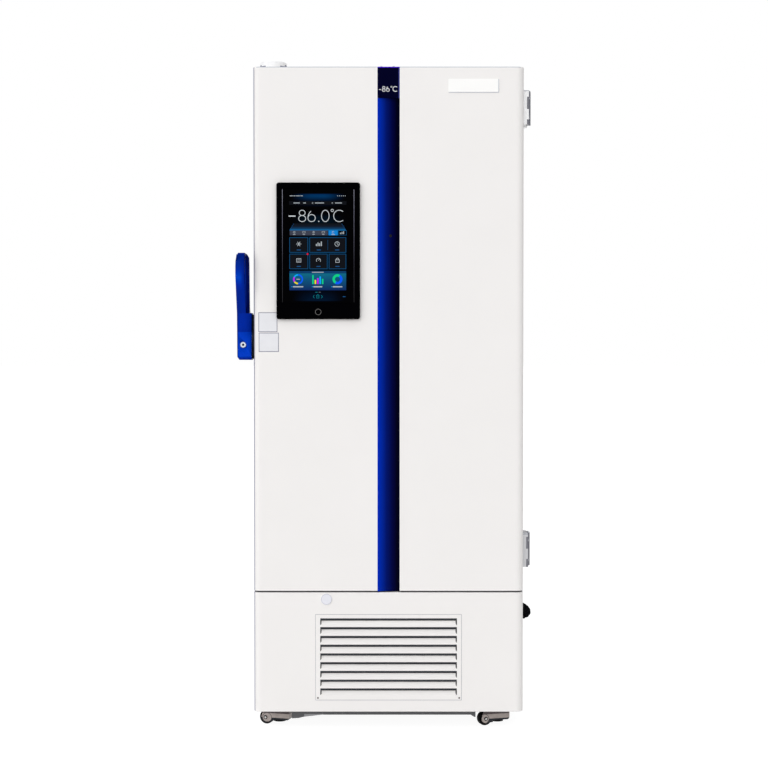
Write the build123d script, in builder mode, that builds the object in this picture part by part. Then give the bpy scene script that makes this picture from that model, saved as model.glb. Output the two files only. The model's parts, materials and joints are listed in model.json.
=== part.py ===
from build123d import *
from math import cos, radians, sin
import os

os.makedirs("parts", exist_ok=True)

# Upright ultra low temperature freezer, in millimetres.
# X runs to the right of someone facing the door, Y to the back and Z up.
# The origin is on the floor, under the middle of the whole footprint.

# Outer cabinet
cabinet_width = 785.0
cabinet_depth = 869.0  # front frame to back panel
cabinet_height = 1928.0  # floor to top panel
skirt_clearance = 54.0  # floor to the lower edge of the outer panels
bay_height = 352.0  # lower edge of the outer panels to the insulated box
sheet = 1.5  # painted steel sheet
panel_flange = 30.0  # inward flange at the front of the side panels
corner_radius = 20.0  # rounded vertical edges of the door and the lower panel
door_thickness = 95.0
gasket_gap = 12.0  # door to front frame
seam = 3.0  # door to lower panel
spacer_depth = 25.0  # folded wall spacers on the back
spacer_width = 40.0
spacer_inset = 120.0

# Clearances
fit = 0.3  # between pieces that don't touch
running = 0.05  # radial, a pin in its bore

# Insulated box
wall_side = 145.0
wall_top = 128.0
wall_bottom = 128.0
wall_rear = 118.0
liner_sheet = 1.5
evaporator_thickness = 3.0
breaker_thickness = 3.0
rebate_depth = 55.0  # front rebate that holds the inner doors
ledge = 25.0  # width of the seat round the chamber mouth

# Door
skin_edge = 1.2  # bevel along the upper and lower rims of the folded skins
inner_panel_thickness = 3.0
plug_depth = 7.0  # raised middle of the door's inner panel
plug_margin = 15.0
gasket_width = 22.0
gasket_inset = 12.0
gasket_waist = 4.0  # depth of the fold in the gasket's bellows
stripe_width = 64.5
stripe_shallow = 5.0  # channel depth at the stripe's left edge
stripe_deep = 19.0  # channel depth at its right edge
stripe_floor = 8.0  # flat floor at the right of the channel
stripe_thickness = 4.0
header_height = 90.0

# Display in the door
display_width = 242.0
display_height = 395.0
display_depth = 13.0
display_inset = 189.0  # its middle from the cabinet's left side
display_drop = 532.5  # its middle below the cabinet's top
display_corner = 7.0
display_edge = 2.5
glass_width = 207.0
glass_height = 331.0
glass_thickness = 2.5
glass_recess = 4.0
glass_rise = 14.0  # glass middle above the display's middle
button_radius = 9.5
button_drop = 176.5  # below the display's middle
button_stroke = 1.2
button_proud = 1.6
button_well = 8.0

# Lever handle on the door's left side
lever_side_reach = 52.6  # beyond the cabinet's left side
lever_front_reach = 40.0  # ahead of the door's face
lever_drop = 750.0  # its pivot below the cabinet's top
lever_setback = 50.0  # pivot behind the door's face
lever_gap = 6.4  # hub to door side
grip_gap = 14.2  # grip to door side
grip_bar = 23.0  # right face of the front bar to door side
hub_drop = 98.0
hub_rise = 35.0
grip_rise = 209.0
hub_front = 33.0
hub_belly = 42.0
hub_back = 30.0
bar_thickness = 17.0
handle_base_thickness = 4.0
handle_base_width = 76.0
pivot_radius = 7.0
pivot_flange_radius = 17.0
pivot_depth = 30.0
lock_radius = 9.4
lock_reach = 30.5
lock_drop = 54.0
lock_slot = 1.6
lever_turn = 70.0  # degrees
lock_depth = 22.0
lock_proud = 2.5
keeper_clearance = 1.0  # lever heel to keeper, over the lever's travel
keeper_depth = 40.0
keeper_height = 22.0
keeper_reach = 30.0
keeper_sheet = 5.0

# Door hinges on the right side
hinge_height = 97.0
hinge_top_drop = 160.0  # upper hinge's lower end below the cabinet's top
hinge_bottom_rise = 67.0  # lower hinge's lower end above the door's
hinge_axis_reach = 19.5  # axis beyond the cabinet's right side
hinge_axis_setback = 15.0  # axis ahead of the door's rear face
hinge_leaf = 38.0
hinge_leaf_thickness = 17.0
knuckle_radius = 5.5
knuckle_arm = 9.5  # thickness of the arms that carry the knuckles
hinge_pin_radius = 3.0
pin_head_radius = 5.0
pin_head_height = 4.0
lower_knuckle = 0.18  # shares of the hinge's height
middle_knuckle = 0.33

# Inner doors
inner_door_thickness = 38.0
inner_gasket_thickness = 7.7
inner_gasket_width = 14.0
inner_door_gap = 5.0
inner_pin_radius = 3.0
inner_pin_length = 10.0
inner_axis_inset = 8.0
inner_bracket_thickness = 3.0
inner_door_edge = 3.0
pull_width = 30.0
pull_height = 120.0
pull_depth = 14.0

# Shelves
shelf_sheet = 2.0
shelf_lip = 18.0
shelf_count = 3
rail_width = 20.0
rail_thickness = 6.0
rail_inset = 90.0
slot_pitch = 100.0
slot_height = 12.0
slot_width = 8.0
slot_depth = 4.0
clip_reach = 16.0
clip_height = 8.0

# Machine bay
post = 30.0  # square posts of the base frame
base_height = 90.0  # floor to the underside of the base frame
rail_height = 28.0
rail_box = 108.0
rail_setback = 25.0  # front ends of the rails behind the door's face
rail_wall = 3.0
pan_lip = 22.0  # return along the lower front panel's lower edge
apron_edge = 39.0  # floor to the lower edge of the apron under the front panel
apron_flange = 20.0
apron_tab = 32.0  # width of the tabs at its ends
apron_tab_drop = 9.5
apron_sheet = 3.0
caster_inset = 71.0  # caster axis from the cabinet's side
front_caster_setback = 82.0  # behind the door's face
front_caster_turn = 17.0  # degrees, from pointing straight to the left
rear_caster_inset = 95.0
grille_width = 424.0
grille_height = 248.5
grille_drop = 192.5  # its middle below the insulated box
grille_margin = 8.0  # lap of the grille on the panel
grille_sheet = 1.5
louvre_count = 9
louvre_pitch = 25.6
louvre_length = 398.0
louvre_height = 16.0
louvre_gap = 4.6  # open gap at the top of each louvre
louvre_lean = 9.0  # how far each tongue leans inwards
louvre_slit = 1.6
plug_radius = 16.8
plug_proud = 3.0
plug_inset = 211.5  # from the cabinet's left side
plug_drop = 22.6  # below the insulated box
filter_thickness = 8.0
filter_bar = 8.0
condenser_depth = 50.0
condenser_margin = 8.0
fin_count = 18
fin_thickness = 6.0
fan_radius = 100.0
fan_clearance = 4.0
fan_hub_radius = 28.0
blade_count = 5
blade_pitch = 32.0
shroud_thickness = 10.0
motor_radius = 36.0
motor_length = 50.0
rotor_start = 4.0  # shroud's front to the rotor's hub
rotor_depth = 20.0
rotor_gap = 4.0  # rotor to motor
compressor_radius = 82.0
compressor_height = 205.0
compressor_spacing = 380.0
compressor_foot = 12.0
compressor_plate = 3.0
terminal_depth = 22.0
terminal_gap = 47.0  # compressor's terminal box to the control box
exchanger_width = 80.0
exchanger_depth = 120.0
exchanger_height = 250.0
exchanger_port = 16.0
exchanger_port_reach = 24.0
control_width = 200.0
control_depth = 150.0
control_height = 150.0
control_lid = 4.0
control_lid_lap = 3.0
control_margin = 20.0  # to the frame's posts

vent_rows = 4
vent_pitch = 26.0
vent_column = 200.0
vent_length = 150.0
vent_height = 6.0
inlet_inset = 152.5  # from the cabinet's left side
inlet_rise = 47.0  # above the machine bay's floor
inlet_width = 56.0
inlet_height = 30.0
inlet_depth = 30.0
inlet_wall = 3.0
inlet_flange = 2.0
socket_depth = 18.0
switch_depth = 12.0

# Casters
wheel_radius = 21.0
wheel_width = 20.0
axle_radius = 4.0
wheel_clearance = 2.0
ear_thickness = 3.0
ear_radius = 13.0
caster_trail = 40.0
caster_nose = 34.0
caster_nose_corner = 9.0
caster_lower_edge = 15.5
caster_plate = 4.0
caster_plate_size = 70.0
kingpin_radius = 12.0
kingpin_length = 9.0
pad_radius = 18.0
pad_thickness = 4.0
pad_height = 11.0  # floor to the raised pad
spindle_radius = 5.0
spindle_length = 40.0

# Cap on the access port in the roof, and the cable conduit on the right side
port_cap_radius = 40.0
port_cap_height = 37.0
port_inset = 49.5  # from the cabinet's left side
port_setback = 60.0
conduit_reach = 38.0
conduit_radius = 11.0
conduit_core = 8.6
conduit_drop = 74.0  # its upper end below the insulated box
conduit_fall = 28.0
conduit_span = 60.0
conduit_setback = 46.0
conduit_pitch = 7.0
conduit_collar = 12.0  # smooth stretch at each end of the hose

# Places that follow from those sizes
mid_x = (lever_side_reach - conduit_reach) / 2
left_x = mid_x - cabinet_width / 2
right_x = mid_x + cabinet_width / 2
overall_depth = lever_front_reach + door_thickness + gasket_gap + cabinet_depth + spacer_depth
door_face_y = lever_front_reach - overall_depth / 2
door_back_y = door_face_y + door_thickness
frame_y = door_back_y + gasket_gap
back_y = frame_y + cabinet_depth
box_z = skirt_clearance + bay_height
rail_z = (base_height, base_height + rail_height)
floor_z = rail_z[1]
ledge_y = frame_y + rebate_depth
chamber_x = (left_x + wall_side, right_x - wall_side)
chamber_y = (ledge_y, back_y - wall_rear)
chamber_z = (box_z + wall_bottom, cabinet_height - wall_top)
rebate_x = (chamber_x[0] - ledge, chamber_x[1] + ledge)
rebate_z = (chamber_z[0] - ledge, chamber_z[1] + ledge)
display_x = left_x + display_inset
display_z = cabinet_height - display_drop
button_z = display_z - button_drop
lever_z = cabinet_height - lever_drop
hinge_lows = (box_z + hinge_bottom_rise, cabinet_height - hinge_top_drop)
grille_z = box_z - grille_drop
plug_x = left_x + plug_inset
plug_z = box_z - plug_drop
port_x = left_x + port_inset
port_y = frame_y + port_setback
inlet_x = left_x + inlet_inset
inlet_z = floor_z + inlet_rise
middle_plane = Plane.YZ.offset(mid_x)


def grown(span, amount):
    """The (low, high) span, longer by amount at both ends."""
    return (span[0] - amount, span[1] + amount)


def block(x, y, z, mode=Mode.ADD):
    """A box between three (low, high) spans, in the part builder that is open."""
    with Locations((sum(x) / 2, sum(y) / 2, sum(z) / 2)):
        Box(x[1] - x[0], y[1] - y[0], z[1] - z[0], mode=mode)


def finish(builder, name):
    """Labels a finished piece and writes its file."""
    builder.part.label = name
    export_step(builder.part, f"parts/{name}.step")


# Outer panels of the cabinet
with BuildPart() as side_panel_left:
    with BuildSketch(Plane.XY.offset(skirt_clearance)):
        with BuildLine():
            Polyline(
                (left_x, frame_y),
                (left_x + panel_flange, frame_y),
                (left_x + panel_flange, frame_y + sheet),
                (left_x + sheet, frame_y + sheet),
                (left_x + sheet, back_y - sheet),
                (left_x, back_y - sheet),
                close=True,
            )
        make_face()
    extrude(amount=cabinet_height - sheet - skirt_clearance)
    notch_x = (left_x + sheet, left_x + panel_flange)
    block(notch_x, (frame_y, frame_y + sheet), (skirt_clearance, floor_z + fit), Mode.SUBTRACT)
finish(side_panel_left, "side_panel_left")

conduit_y = (frame_y + conduit_setback, frame_y + conduit_setback + conduit_span)
conduit_z = (box_z - conduit_drop, box_z - conduit_drop - conduit_fall)
with BuildPart() as side_panel_right:
    mirror(side_panel_left.part, about=middle_plane)
    for y, z in zip(conduit_y, conduit_z):
        with Locations(Plane((right_x, y, z), z_dir=(1, 0, 0))):
            Cylinder(conduit_core + fit, 4 * sheet, mode=Mode.SUBTRACT)
finish(side_panel_right, "side_panel_right")

with BuildPart() as top_panel:
    block((left_x, right_x), (frame_y, back_y), (cabinet_height - sheet, cabinet_height))
    lip_x = (left_x + panel_flange + fit, right_x - panel_flange - fit)
    block(lip_x, (frame_y, frame_y + sheet), (cabinet_height - panel_flange, cabinet_height))
finish(top_panel, "top_panel")

with BuildPart() as back_panel:
    block((left_x, right_x), (back_y - sheet, back_y), (box_z, cabinet_height - sheet))
    for x in (left_x + spacer_inset, right_x - spacer_inset):
        with BuildSketch(Plane.XY.offset(chamber_z[0])):
            with Locations((x, back_y + spacer_depth / 2)):
                Trapezoid(spacer_width, spacer_depth, 75)
        extrude(amount=chamber_z[1] - chamber_z[0])
        with BuildSketch(Plane.XY.offset(chamber_z[0])):
            with Locations((x, back_y + (spacer_depth - sheet) / 2)):
                Trapezoid(spacer_width - 2 * sheet, spacer_depth - sheet, 75)
        extrude(amount=chamber_z[1] - chamber_z[0], mode=Mode.SUBTRACT)
finish(back_panel, "back_panel")

# Insulated box: foam, liner, evaporator and front frame
liner_x = grown(chamber_x, liner_sheet)
liner_z = grown(chamber_z, liner_sheet)
liner_back = chamber_y[1] + liner_sheet
foam_front = frame_y + breaker_thickness
ledge_back = ledge_y + liner_sheet
with BuildPart() as cabinet_insulation:
    block(
        (left_x + sheet, right_x - sheet),
        (foam_front, back_y - sheet),
        (box_z, cabinet_height - sheet),
    )
    block(
        grown(rebate_x, breaker_thickness),
        (foam_front, ledge_back),
        grown(rebate_z, breaker_thickness),
        mode=Mode.SUBTRACT,
    )
    block(
        grown(liner_x, evaporator_thickness),
        (ledge_back, liner_back + evaporator_thickness),
        liner_z,
        mode=Mode.SUBTRACT,
    )
finish(cabinet_insulation, "cabinet_insulation")

with BuildPart() as inner_liner:
    block(liner_x, (ledge_y, liner_back), liner_z)
    block(rebate_x, (ledge_y, ledge_back), rebate_z)
    block(chamber_x, chamber_y, chamber_z, mode=Mode.SUBTRACT)
finish(inner_liner, "inner_liner")

with BuildPart() as evaporator_plates:
    plate_back = liner_back + evaporator_thickness
    block(grown(liner_x, evaporator_thickness), (ledge_back, plate_back), liner_z)
    block(liner_x, (ledge_back, liner_back), liner_z, mode=Mode.SUBTRACT)
finish(evaporator_plates, "evaporator_plates")

with BuildPart() as breaker_frame:
    with BuildSketch(Plane.XZ.offset(-foam_front)) as frame_face:
        frame_x = grown((left_x, right_x), -panel_flange - fit)
        frame_z = (box_z, cabinet_height - panel_flange - fit)
        with Locations((sum(frame_x) / 2, sum(frame_z) / 2)):
            Rectangle(frame_x[1] - frame_x[0], frame_z[1] - frame_z[0])
    extrude(amount=breaker_thickness)
    block(
        grown(rebate_x, breaker_thickness),
        (frame_y, ledge_back),
        grown(rebate_z, breaker_thickness),
    )
    block(rebate_x, (frame_y, ledge_back), rebate_z, mode=Mode.SUBTRACT)
finish(breaker_frame, "breaker_frame")

# Shelves on slotted rails
rail_y = (chamber_y[0] + rail_inset, chamber_y[1] - rail_inset)
chamber_height = chamber_z[1] - chamber_z[0]
slot_count = int(chamber_height // slot_pitch) - 1
shelf_z = [
    chamber_z[0] + slot_pitch * round(chamber_height * (n + 1) / (shelf_count + 1) / slot_pitch)
    for n in range(shelf_count)
]
with BuildPart() as shelf_rails:
    for wall_x, inwards in ((chamber_x[0], 1), (chamber_x[1], -1)):
        face_x = wall_x + inwards * rail_thickness
        for y in rail_y:
            span_y = grown((y, y), rail_width / 2)
            block(tuple(sorted((wall_x, face_x))), span_y, chamber_z)
            for n in range(slot_count):
                slot_z = chamber_z[0] + slot_pitch * (n + 1)
                slot_x = tuple(sorted((face_x, face_x - inwards * slot_depth)))
                block(
                    slot_x,
                    grown((y, y), slot_width / 2),
                    (slot_z - slot_height, slot_z),
                    mode=Mode.SUBTRACT,
                )
    for z in shelf_z:
        for wall_x, inwards in ((chamber_x[0], 1), (chamber_x[1], -1)):
            root_x = wall_x + inwards * (rail_thickness - slot_depth + fit)
            tip_x = wall_x + inwards * (rail_thickness + clip_reach)
            for y in rail_y:
                block(
                    tuple(sorted((root_x, tip_x))),
                    grown((y, y), slot_width / 2 - fit),
                    (z - clip_height, z - fit),
                )
finish(shelf_rails, "shelf_rails")

with BuildPart() as shelves:
    shelf_x = grown(chamber_x, -rail_thickness - 2.0)
    shelf_y = grown(chamber_y, -8.0)
    for z in shelf_z:
        block(shelf_x, shelf_y, (z - fit, z - fit + shelf_sheet))
        for lip_y in (shelf_y[0], shelf_y[1] - shelf_sheet):
            block(shelf_x, (lip_y, lip_y + shelf_sheet), (z - shelf_lip, z - fit))
finish(shelves, "shelves")

# Inner doors, side by side up the rebate, on pins at their right edges
inner_x = grown(rebate_x, -inner_door_gap)
bracket_gap = inner_bracket_thickness + 2 * inner_door_gap / 2
inner_height = (rebate_z[1] - rebate_z[0] - 3 * bracket_gap) / 2
inner_back = ledge_y - fit - inner_gasket_thickness
inner_front = inner_back - inner_door_thickness
inner_axis_x = inner_x[1] - inner_axis_inset
inner_axis_y = inner_front + inner_axis_inset
inner_z = [rebate_z[0] + bracket_gap + n * (inner_height + bracket_gap) for n in range(2)]


def inner_door(low_z):
    """One insulated inner door with its finger pull, pin bores and rear seal."""
    high_z = low_z + inner_height
    with BuildPart() as leaf:
        block(inner_x, (inner_front, inner_back), (low_z, high_z))
        rim = leaf.faces().sort_by(Axis.Y)[0].edges()
        chamfer(rim, inner_door_edge)
        pull_x = (inner_x[0] + 2 * inner_door_edge, inner_x[0] + 2 * inner_door_edge + pull_width)
        pull_z = grown(((low_z + high_z) / 2,) * 2, pull_height / 2)
        block(pull_x, (inner_front, inner_front + pull_depth), pull_z, mode=Mode.SUBTRACT)
        bore = inner_pin_length + 1.0
        for z in (low_z + bore / 2, high_z - bore / 2):
            with Locations((inner_axis_x, inner_axis_y, z)):
                Cylinder(inner_pin_radius + running, bore, mode=Mode.SUBTRACT)
        seal_y = (inner_back, inner_back + inner_gasket_thickness)
        seal_x = grown(inner_x, -inner_door_gap)
        seal_z = grown((low_z, high_z), -inner_door_gap)
    with BuildPart() as seal:
        block(seal_x, seal_y, seal_z)
        block(
            grown(seal_x, -inner_gasket_width),
            seal_y,
            grown(seal_z, -inner_gasket_width),
            mode=Mode.SUBTRACT,
        )
    return leaf, seal


for place, low_z in zip(("lower", "upper"), inner_z):
    leaf, seal = inner_door(low_z)
    finish(leaf, f"inner_door_{place}")
    finish(seal, f"inner_seal_{place}")

with BuildPart() as inner_hinge_brackets:
    for n in range(3):
        plate_z = rebate_z[0] + inner_door_gap / 2 + n * (inner_height + bracket_gap)
        plate = (plate_z, plate_z + inner_bracket_thickness)
        block(
            (inner_axis_x - inner_axis_inset, rebate_x[1]),
            (inner_front, inner_axis_y + inner_axis_inset),
            plate,
        )
        low = plate[0] - inner_pin_length * (n > 0)
        high = plate[1] + inner_pin_length * (n < 2)
        with Locations((inner_axis_x, inner_axis_y, (low + high) / 2)):
            Cylinder(inner_pin_radius, high - low)
finish(inner_hinge_brackets, "inner_hinge_brackets")

# Door: skin with the stripe's channel, foam, inner panel and gasket
door_z = (box_z, cabinet_height)
stripe_x = grown((mid_x, mid_x), stripe_width / 2)
pan_back = door_back_y - inner_panel_thickness
channel = [
    (stripe_x[0], door_face_y),
    (stripe_x[0], door_face_y + stripe_shallow),
    (stripe_x[1] - stripe_floor, door_face_y + stripe_deep),
    (stripe_x[1], door_face_y + stripe_deep),
    (stripe_x[1], door_face_y),
]


def rounded_front(span_x, span_y, radius):
    """Outline of a panel seen from above, with its two front corners rounded."""
    with BuildSketch() as outline:
        with Locations((sum(span_x) / 2, sum(span_y) / 2)):
            Rectangle(span_x[1] - span_x[0], span_y[1] - span_y[0])
        fillet(outline.vertices().group_by(Axis.Y)[0], radius)
    return outline.sketch


def channel_outline(wall):
    """Outline of the stripe's channel seen from above, with wall left round it."""
    with BuildSketch() as outline:
        with BuildLine():
            Polyline(*channel, close=True)
        make_face()
        if wall:
            offset(amount=wall, kind=Kind.INTERSECTION)
    return outline.sketch


with BuildPart() as door_shell:
    with BuildSketch(Plane.XY.offset(door_z[0])):
        add(rounded_front((left_x, right_x), (door_face_y, pan_back), corner_radius))
    extrude(amount=door_z[1] - door_z[0])
    ends = door_shell.faces().filter_by(Axis.Z)
    rims = [e for e in ends.edges() if e.center().Y < pan_back - sheet]
    chamfer(rims, skin_edge)
    with BuildSketch(Plane.XY.offset(door_z[0] + sheet)):
        pocket_x = grown((left_x, right_x), -sheet)
        add(rounded_front(pocket_x, (door_face_y + sheet, pan_back), corner_radius - sheet))
        add(channel_outline(sheet), mode=Mode.SUBTRACT)
    extrude(amount=door_z[1] - door_z[0] - 2 * sheet, mode=Mode.SUBTRACT)
    with BuildSketch(Plane.XY.offset(door_z[0])):
        add(channel_outline(0))
    extrude(amount=door_z[1] - door_z[0], mode=Mode.SUBTRACT)
finish(door_shell, "door_shell")

with BuildPart() as door_insulation:
    with BuildSketch(Plane.XY.offset(door_z[0] + sheet)):
        add(rounded_front(pocket_x, (door_face_y + sheet, pan_back), corner_radius))
        add(channel_outline(sheet), mode=Mode.SUBTRACT)
    extrude(amount=door_z[1] - door_z[0] - 2 * sheet)
finish(door_insulation, "door_insulation")

with BuildPart() as door_inner_panel:
    block((left_x, right_x), (pan_back, door_back_y), door_z)
    raised_x = grown(rebate_x, -plug_margin)
    raised_z = grown(rebate_z, -plug_margin)
    block(raised_x, (door_back_y, door_back_y + plug_depth), raised_z)
    chamfer(door_inner_panel.faces().sort_by(Axis.Y)[-1].edges(), plug_depth * 0.6)
finish(door_inner_panel, "door_inner_panel")

with BuildPart() as door_gasket:
    gasket_x = grown((left_x, right_x), -gasket_inset)
    gasket_z = grown(door_z, -gasket_inset)
    thickness = gasket_gap - fit
    for share, waist in (((0, 0.35), 0), ((0.35, 0.6), gasket_waist), ((0.6, 1), 1.0)):
        layer_y = (door_back_y + thickness * share[0], door_back_y + thickness * share[1])
        block(grown(gasket_x, -waist), layer_y, grown(gasket_z, -waist))
    for share, waist in (((0, 0.35), 0), ((0.35, 0.6), gasket_waist), ((0.6, 1), 1.0)):
        layer_y = (door_back_y + thickness * share[0], door_back_y + thickness * share[1])
        hole = waist - gasket_width
        block(grown(gasket_x, hole), layer_y, grown(gasket_z, hole), mode=Mode.SUBTRACT)
finish(door_gasket, "door_gasket")

header_z = cabinet_height - header_height
stripe_top = door_face_y + stripe_shallow - stripe_thickness
with BuildPart() as stripe_trim:
    with BuildSketch(Plane.XY.offset(door_z[0])):
        with BuildLine():
            Polyline(
                (stripe_x[0], stripe_top),
                (stripe_x[0], door_face_y + stripe_shallow),
                (stripe_x[1] - stripe_floor, door_face_y + stripe_deep),
                (stripe_x[1], door_face_y + stripe_deep),
                (stripe_x[1], door_face_y + stripe_deep - stripe_thickness),
            )
            sag = 0.62 * (stripe_deep - stripe_shallow)
            ThreePointArc(
                (stripe_x[1], door_face_y + stripe_deep - stripe_thickness),
                (mid_x, stripe_top + sag),
                (stripe_x[0], stripe_top),
            )
        make_face()
    extrude(amount=header_z - door_z[0])
finish(stripe_trim, "stripe_trim")

with BuildPart() as stripe_header:
    with BuildSketch(Plane.XY.offset(header_z)):
        add(channel_outline(0))
        flush_y = (door_face_y + stripe_top) / 2
        with Locations((mid_x, flush_y)):
            Rectangle(stripe_width, stripe_top - door_face_y, mode=Mode.SUBTRACT)
    extrude(amount=header_height)
finish(stripe_header, "stripe_header")

# Display on the door
glass_z = display_z + glass_rise
with BuildPart() as display_bezel:
    with BuildSketch(Plane.XZ.offset(-door_face_y)):
        with Locations((display_x, display_z)):
            RectangleRounded(display_width, display_height, display_corner)
    extrude(amount=display_depth)
    chamfer(display_bezel.faces().sort_by(Axis.Y)[0].edges(), display_edge)
    bezel_face = Plane.XZ.offset(display_depth - door_face_y)
    with BuildSketch(bezel_face):
        with Locations((display_x, glass_z)):
            Rectangle(glass_width + 2 * fit, glass_height + 2 * fit)
    extrude(amount=-glass_recess, mode=Mode.SUBTRACT)
    with BuildSketch(bezel_face):
        with Locations((display_x, button_z)):
            Circle(button_radius + fit)
    extrude(amount=-button_well, mode=Mode.SUBTRACT)
finish(display_bezel, "display_bezel")

bezel_y = door_face_y - display_depth
with BuildPart() as display_glass:
    glass_y = (bezel_y + glass_recess - glass_thickness, bezel_y + glass_recess)
    glass_x = grown((display_x, display_x), glass_width / 2)
    block(glass_x, glass_y, grown((glass_z, glass_z), glass_height / 2))
    chamfer(display_glass.faces().sort_by(Axis.Y)[0].edges(), glass_thickness * 0.3)
finish(display_glass, "display_glass")

button_back = bezel_y + button_well - button_stroke - fit
with BuildPart() as home_button:
    with BuildSketch(Plane.XZ.offset(-button_back)):
        with Locations((display_x, button_z)):
            Circle(button_radius)
    extrude(amount=button_back - bezel_y + button_proud)
finish(home_button, "home_button")

# Lever handle: base plate, pivot, lever and lock
pivot_y = door_face_y + lever_setback
with BuildPart() as handle_base:
    with BuildSketch(Plane.YZ.offset(left_x)):
        base_z = (lever_z - hub_drop + 3, lever_z + hub_rise - 1)
        with Locations((pivot_y, sum(base_z) / 2)):
            RectangleRounded(handle_base_width, base_z[1] - base_z[0], 8)
    extrude(amount=-handle_base_thickness)
    with BuildSketch(Plane.YZ.offset(left_x - handle_base_thickness)):
        with Locations((pivot_y, lever_z)):
            Circle(pivot_flange_radius)
    extrude(amount=handle_base_thickness + fit - lever_gap)
    with BuildSketch(Plane.YZ.offset(left_x - handle_base_thickness)):
        with Locations((pivot_y, lever_z)):
            Circle(pivot_radius)
    extrude(amount=handle_base_thickness - lever_gap - pivot_depth)
finish(handle_base, "handle_base")


def side_point(forward, up):
    """A point of the lever's side view, from its pivot."""
    return (pivot_y - forward, lever_z + up)


lever_front = lever_setback + lever_front_reach
lock_x = left_x - lock_reach
lock_z = lever_z - lock_drop
face_lean = (hub_belly - hub_front) / (hub_drop - 10 - hub_rise * 0.6)
lock_face_y = pivot_y - hub_front - face_lean * (lock_drop - hub_rise * 0.6)
lock_back_y = lock_face_y + lock_depth
with BuildPart() as handle_lever:
    with BuildSketch(Plane.YZ.offset(left_x)) as side_view:
        with BuildLine():
            Polyline(
                side_point(hub_front, hub_rise),
                side_point(hub_front, hub_rise * -0.6),
                side_point(hub_belly, 10 - hub_drop),
                side_point(hub_belly - 10, -hub_drop),
                side_point(12 - hub_back, -hub_drop),
                side_point(-hub_back, 12 - hub_drop),
                side_point(-hub_back, hub_rise),
                side_point(-hub_back * 0.4, hub_rise + 20),
                side_point(hub_front * 0.1, grip_rise - 30),
                side_point(hub_front * 0.6, grip_rise),
                side_point(lever_front - 18, grip_rise),
                side_point(lever_front, grip_rise - 26),
                side_point(lever_front - 6, grip_rise - 70),
                close=True,
            )
        make_face()
        with BuildLine():
            Polyline(
                side_point(hub_front - bar_thickness * 0.4, hub_rise + 14),
                side_point(lever_front - 6 - bar_thickness, grip_rise - 68),
                side_point(lever_front - bar_thickness, grip_rise - 30),
                side_point(lever_front - bar_thickness - 10, grip_rise - bar_thickness),
                side_point(hub_front * 0.6 + bar_thickness * 0.7, grip_rise - bar_thickness),
                side_point(hub_front * 0.1 + bar_thickness, grip_rise - 40),
                side_point(bar_thickness - hub_back * 0.4, hub_rise + 14),
                close=True,
            )
        make_face(mode=Mode.SUBTRACT)
        fillet(side_view.vertices().group_by(Axis.Y)[-2:], 7)
    extrude(amount=-lever_side_reach)
    with BuildSketch(Plane.XZ.offset(lever_front - pivot_y)):
        with BuildLine():
            Polyline(
                (left_x - lever_side_reach * 0.94, lever_z + hub_rise),
                (left_x - lever_side_reach * 0.9, lever_z - hub_drop + 9),
                (left_x - lever_side_reach * 0.8, lever_z - hub_drop),
                (left_x - lever_gap, lever_z - hub_drop),
                (left_x - lever_gap, lever_z + hub_rise),
                (left_x - grip_gap, lever_z + hub_rise),
                (left_x - grip_gap, lever_z + grip_rise - 12),
                (left_x - grip_gap - 7, lever_z + grip_rise),
                (left_x - lever_side_reach + 11, lever_z + grip_rise),
            )
            ThreePointArc(
                (left_x - lever_side_reach + 11, lever_z + grip_rise),
                (left_x - lever_side_reach, lever_z + grip_rise * 0.6),
                (left_x - lever_side_reach * 0.94, lever_z + hub_rise),
            )
        make_face()
    extrude(amount=-2 * lever_front, mode=Mode.INTERSECT)
    block(
        (left_x - grip_bar, left_x),
        (pivot_y - lever_front, pivot_y - hub_front * 0.6),
        (lever_z + hub_rise, lever_z + grip_rise),
        mode=Mode.SUBTRACT,
    )
    with BuildSketch(Plane.YZ.offset(left_x - lever_gap)):
        with Locations((pivot_y, lever_z)):
            Circle(pivot_radius + running)
    extrude(amount=-pivot_depth - fit, mode=Mode.SUBTRACT)
    with BuildSketch(Plane.XZ.offset(-lock_back_y)):
        with Locations((lock_x, lock_z)):
            Circle(lock_radius + running)
    extrude(amount=2 * lock_depth, mode=Mode.SUBTRACT)
finish(handle_lever, "handle_lever")

with BuildPart() as lock_plug:
    with BuildSketch(Plane.XZ.offset(-lock_back_y)):
        with Locations((lock_x, lock_z)):
            Circle(lock_radius)
    extrude(amount=lock_depth + lock_proud)
    with BuildSketch(Plane.XZ.offset(lock_proud - lock_face_y)):
        with Locations((lock_x, lock_z)):
            Rectangle(lock_slot, lock_radius)
    extrude(amount=-lock_proud, mode=Mode.SUBTRACT)
finish(lock_plug, "lock_plug")

# Keeper on the cabinet's side, which the turned lever's heel bears on
keeper_y = frame_y + sheet
turned = radians(lever_turn)
heel_lift = hub_back + keeper_clearance - (keeper_y - pivot_y) * cos(turned)
keeper_z = lever_z + heel_lift / sin(turned)
with BuildPart() as lever_keeper:
    block(
        (left_x - keeper_sheet, left_x),
        (keeper_y, keeper_y + keeper_depth),
        (keeper_z, keeper_z + keeper_height),
    )
    block(
        (left_x - keeper_reach, left_x),
        (keeper_y, keeper_y + 2 * keeper_sheet),
        (keeper_z, keeper_z + keeper_height),
    )
    fillet(lever_keeper.edges().filter_by(Axis.Z).sort_by(Axis.X)[:2], keeper_sheet * 0.8)
finish(lever_keeper, "lever_keeper")

# Hinges: each door leaf carries two knuckles and the cabinet leaf the one between
axis_x = right_x + hinge_axis_reach
axis_y = door_back_y - hinge_axis_setback
leaf_x = (right_x, right_x + hinge_leaf_thickness)
arm_x = (right_x + hinge_leaf_thickness - knuckle_arm, right_x + hinge_leaf_thickness)


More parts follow.
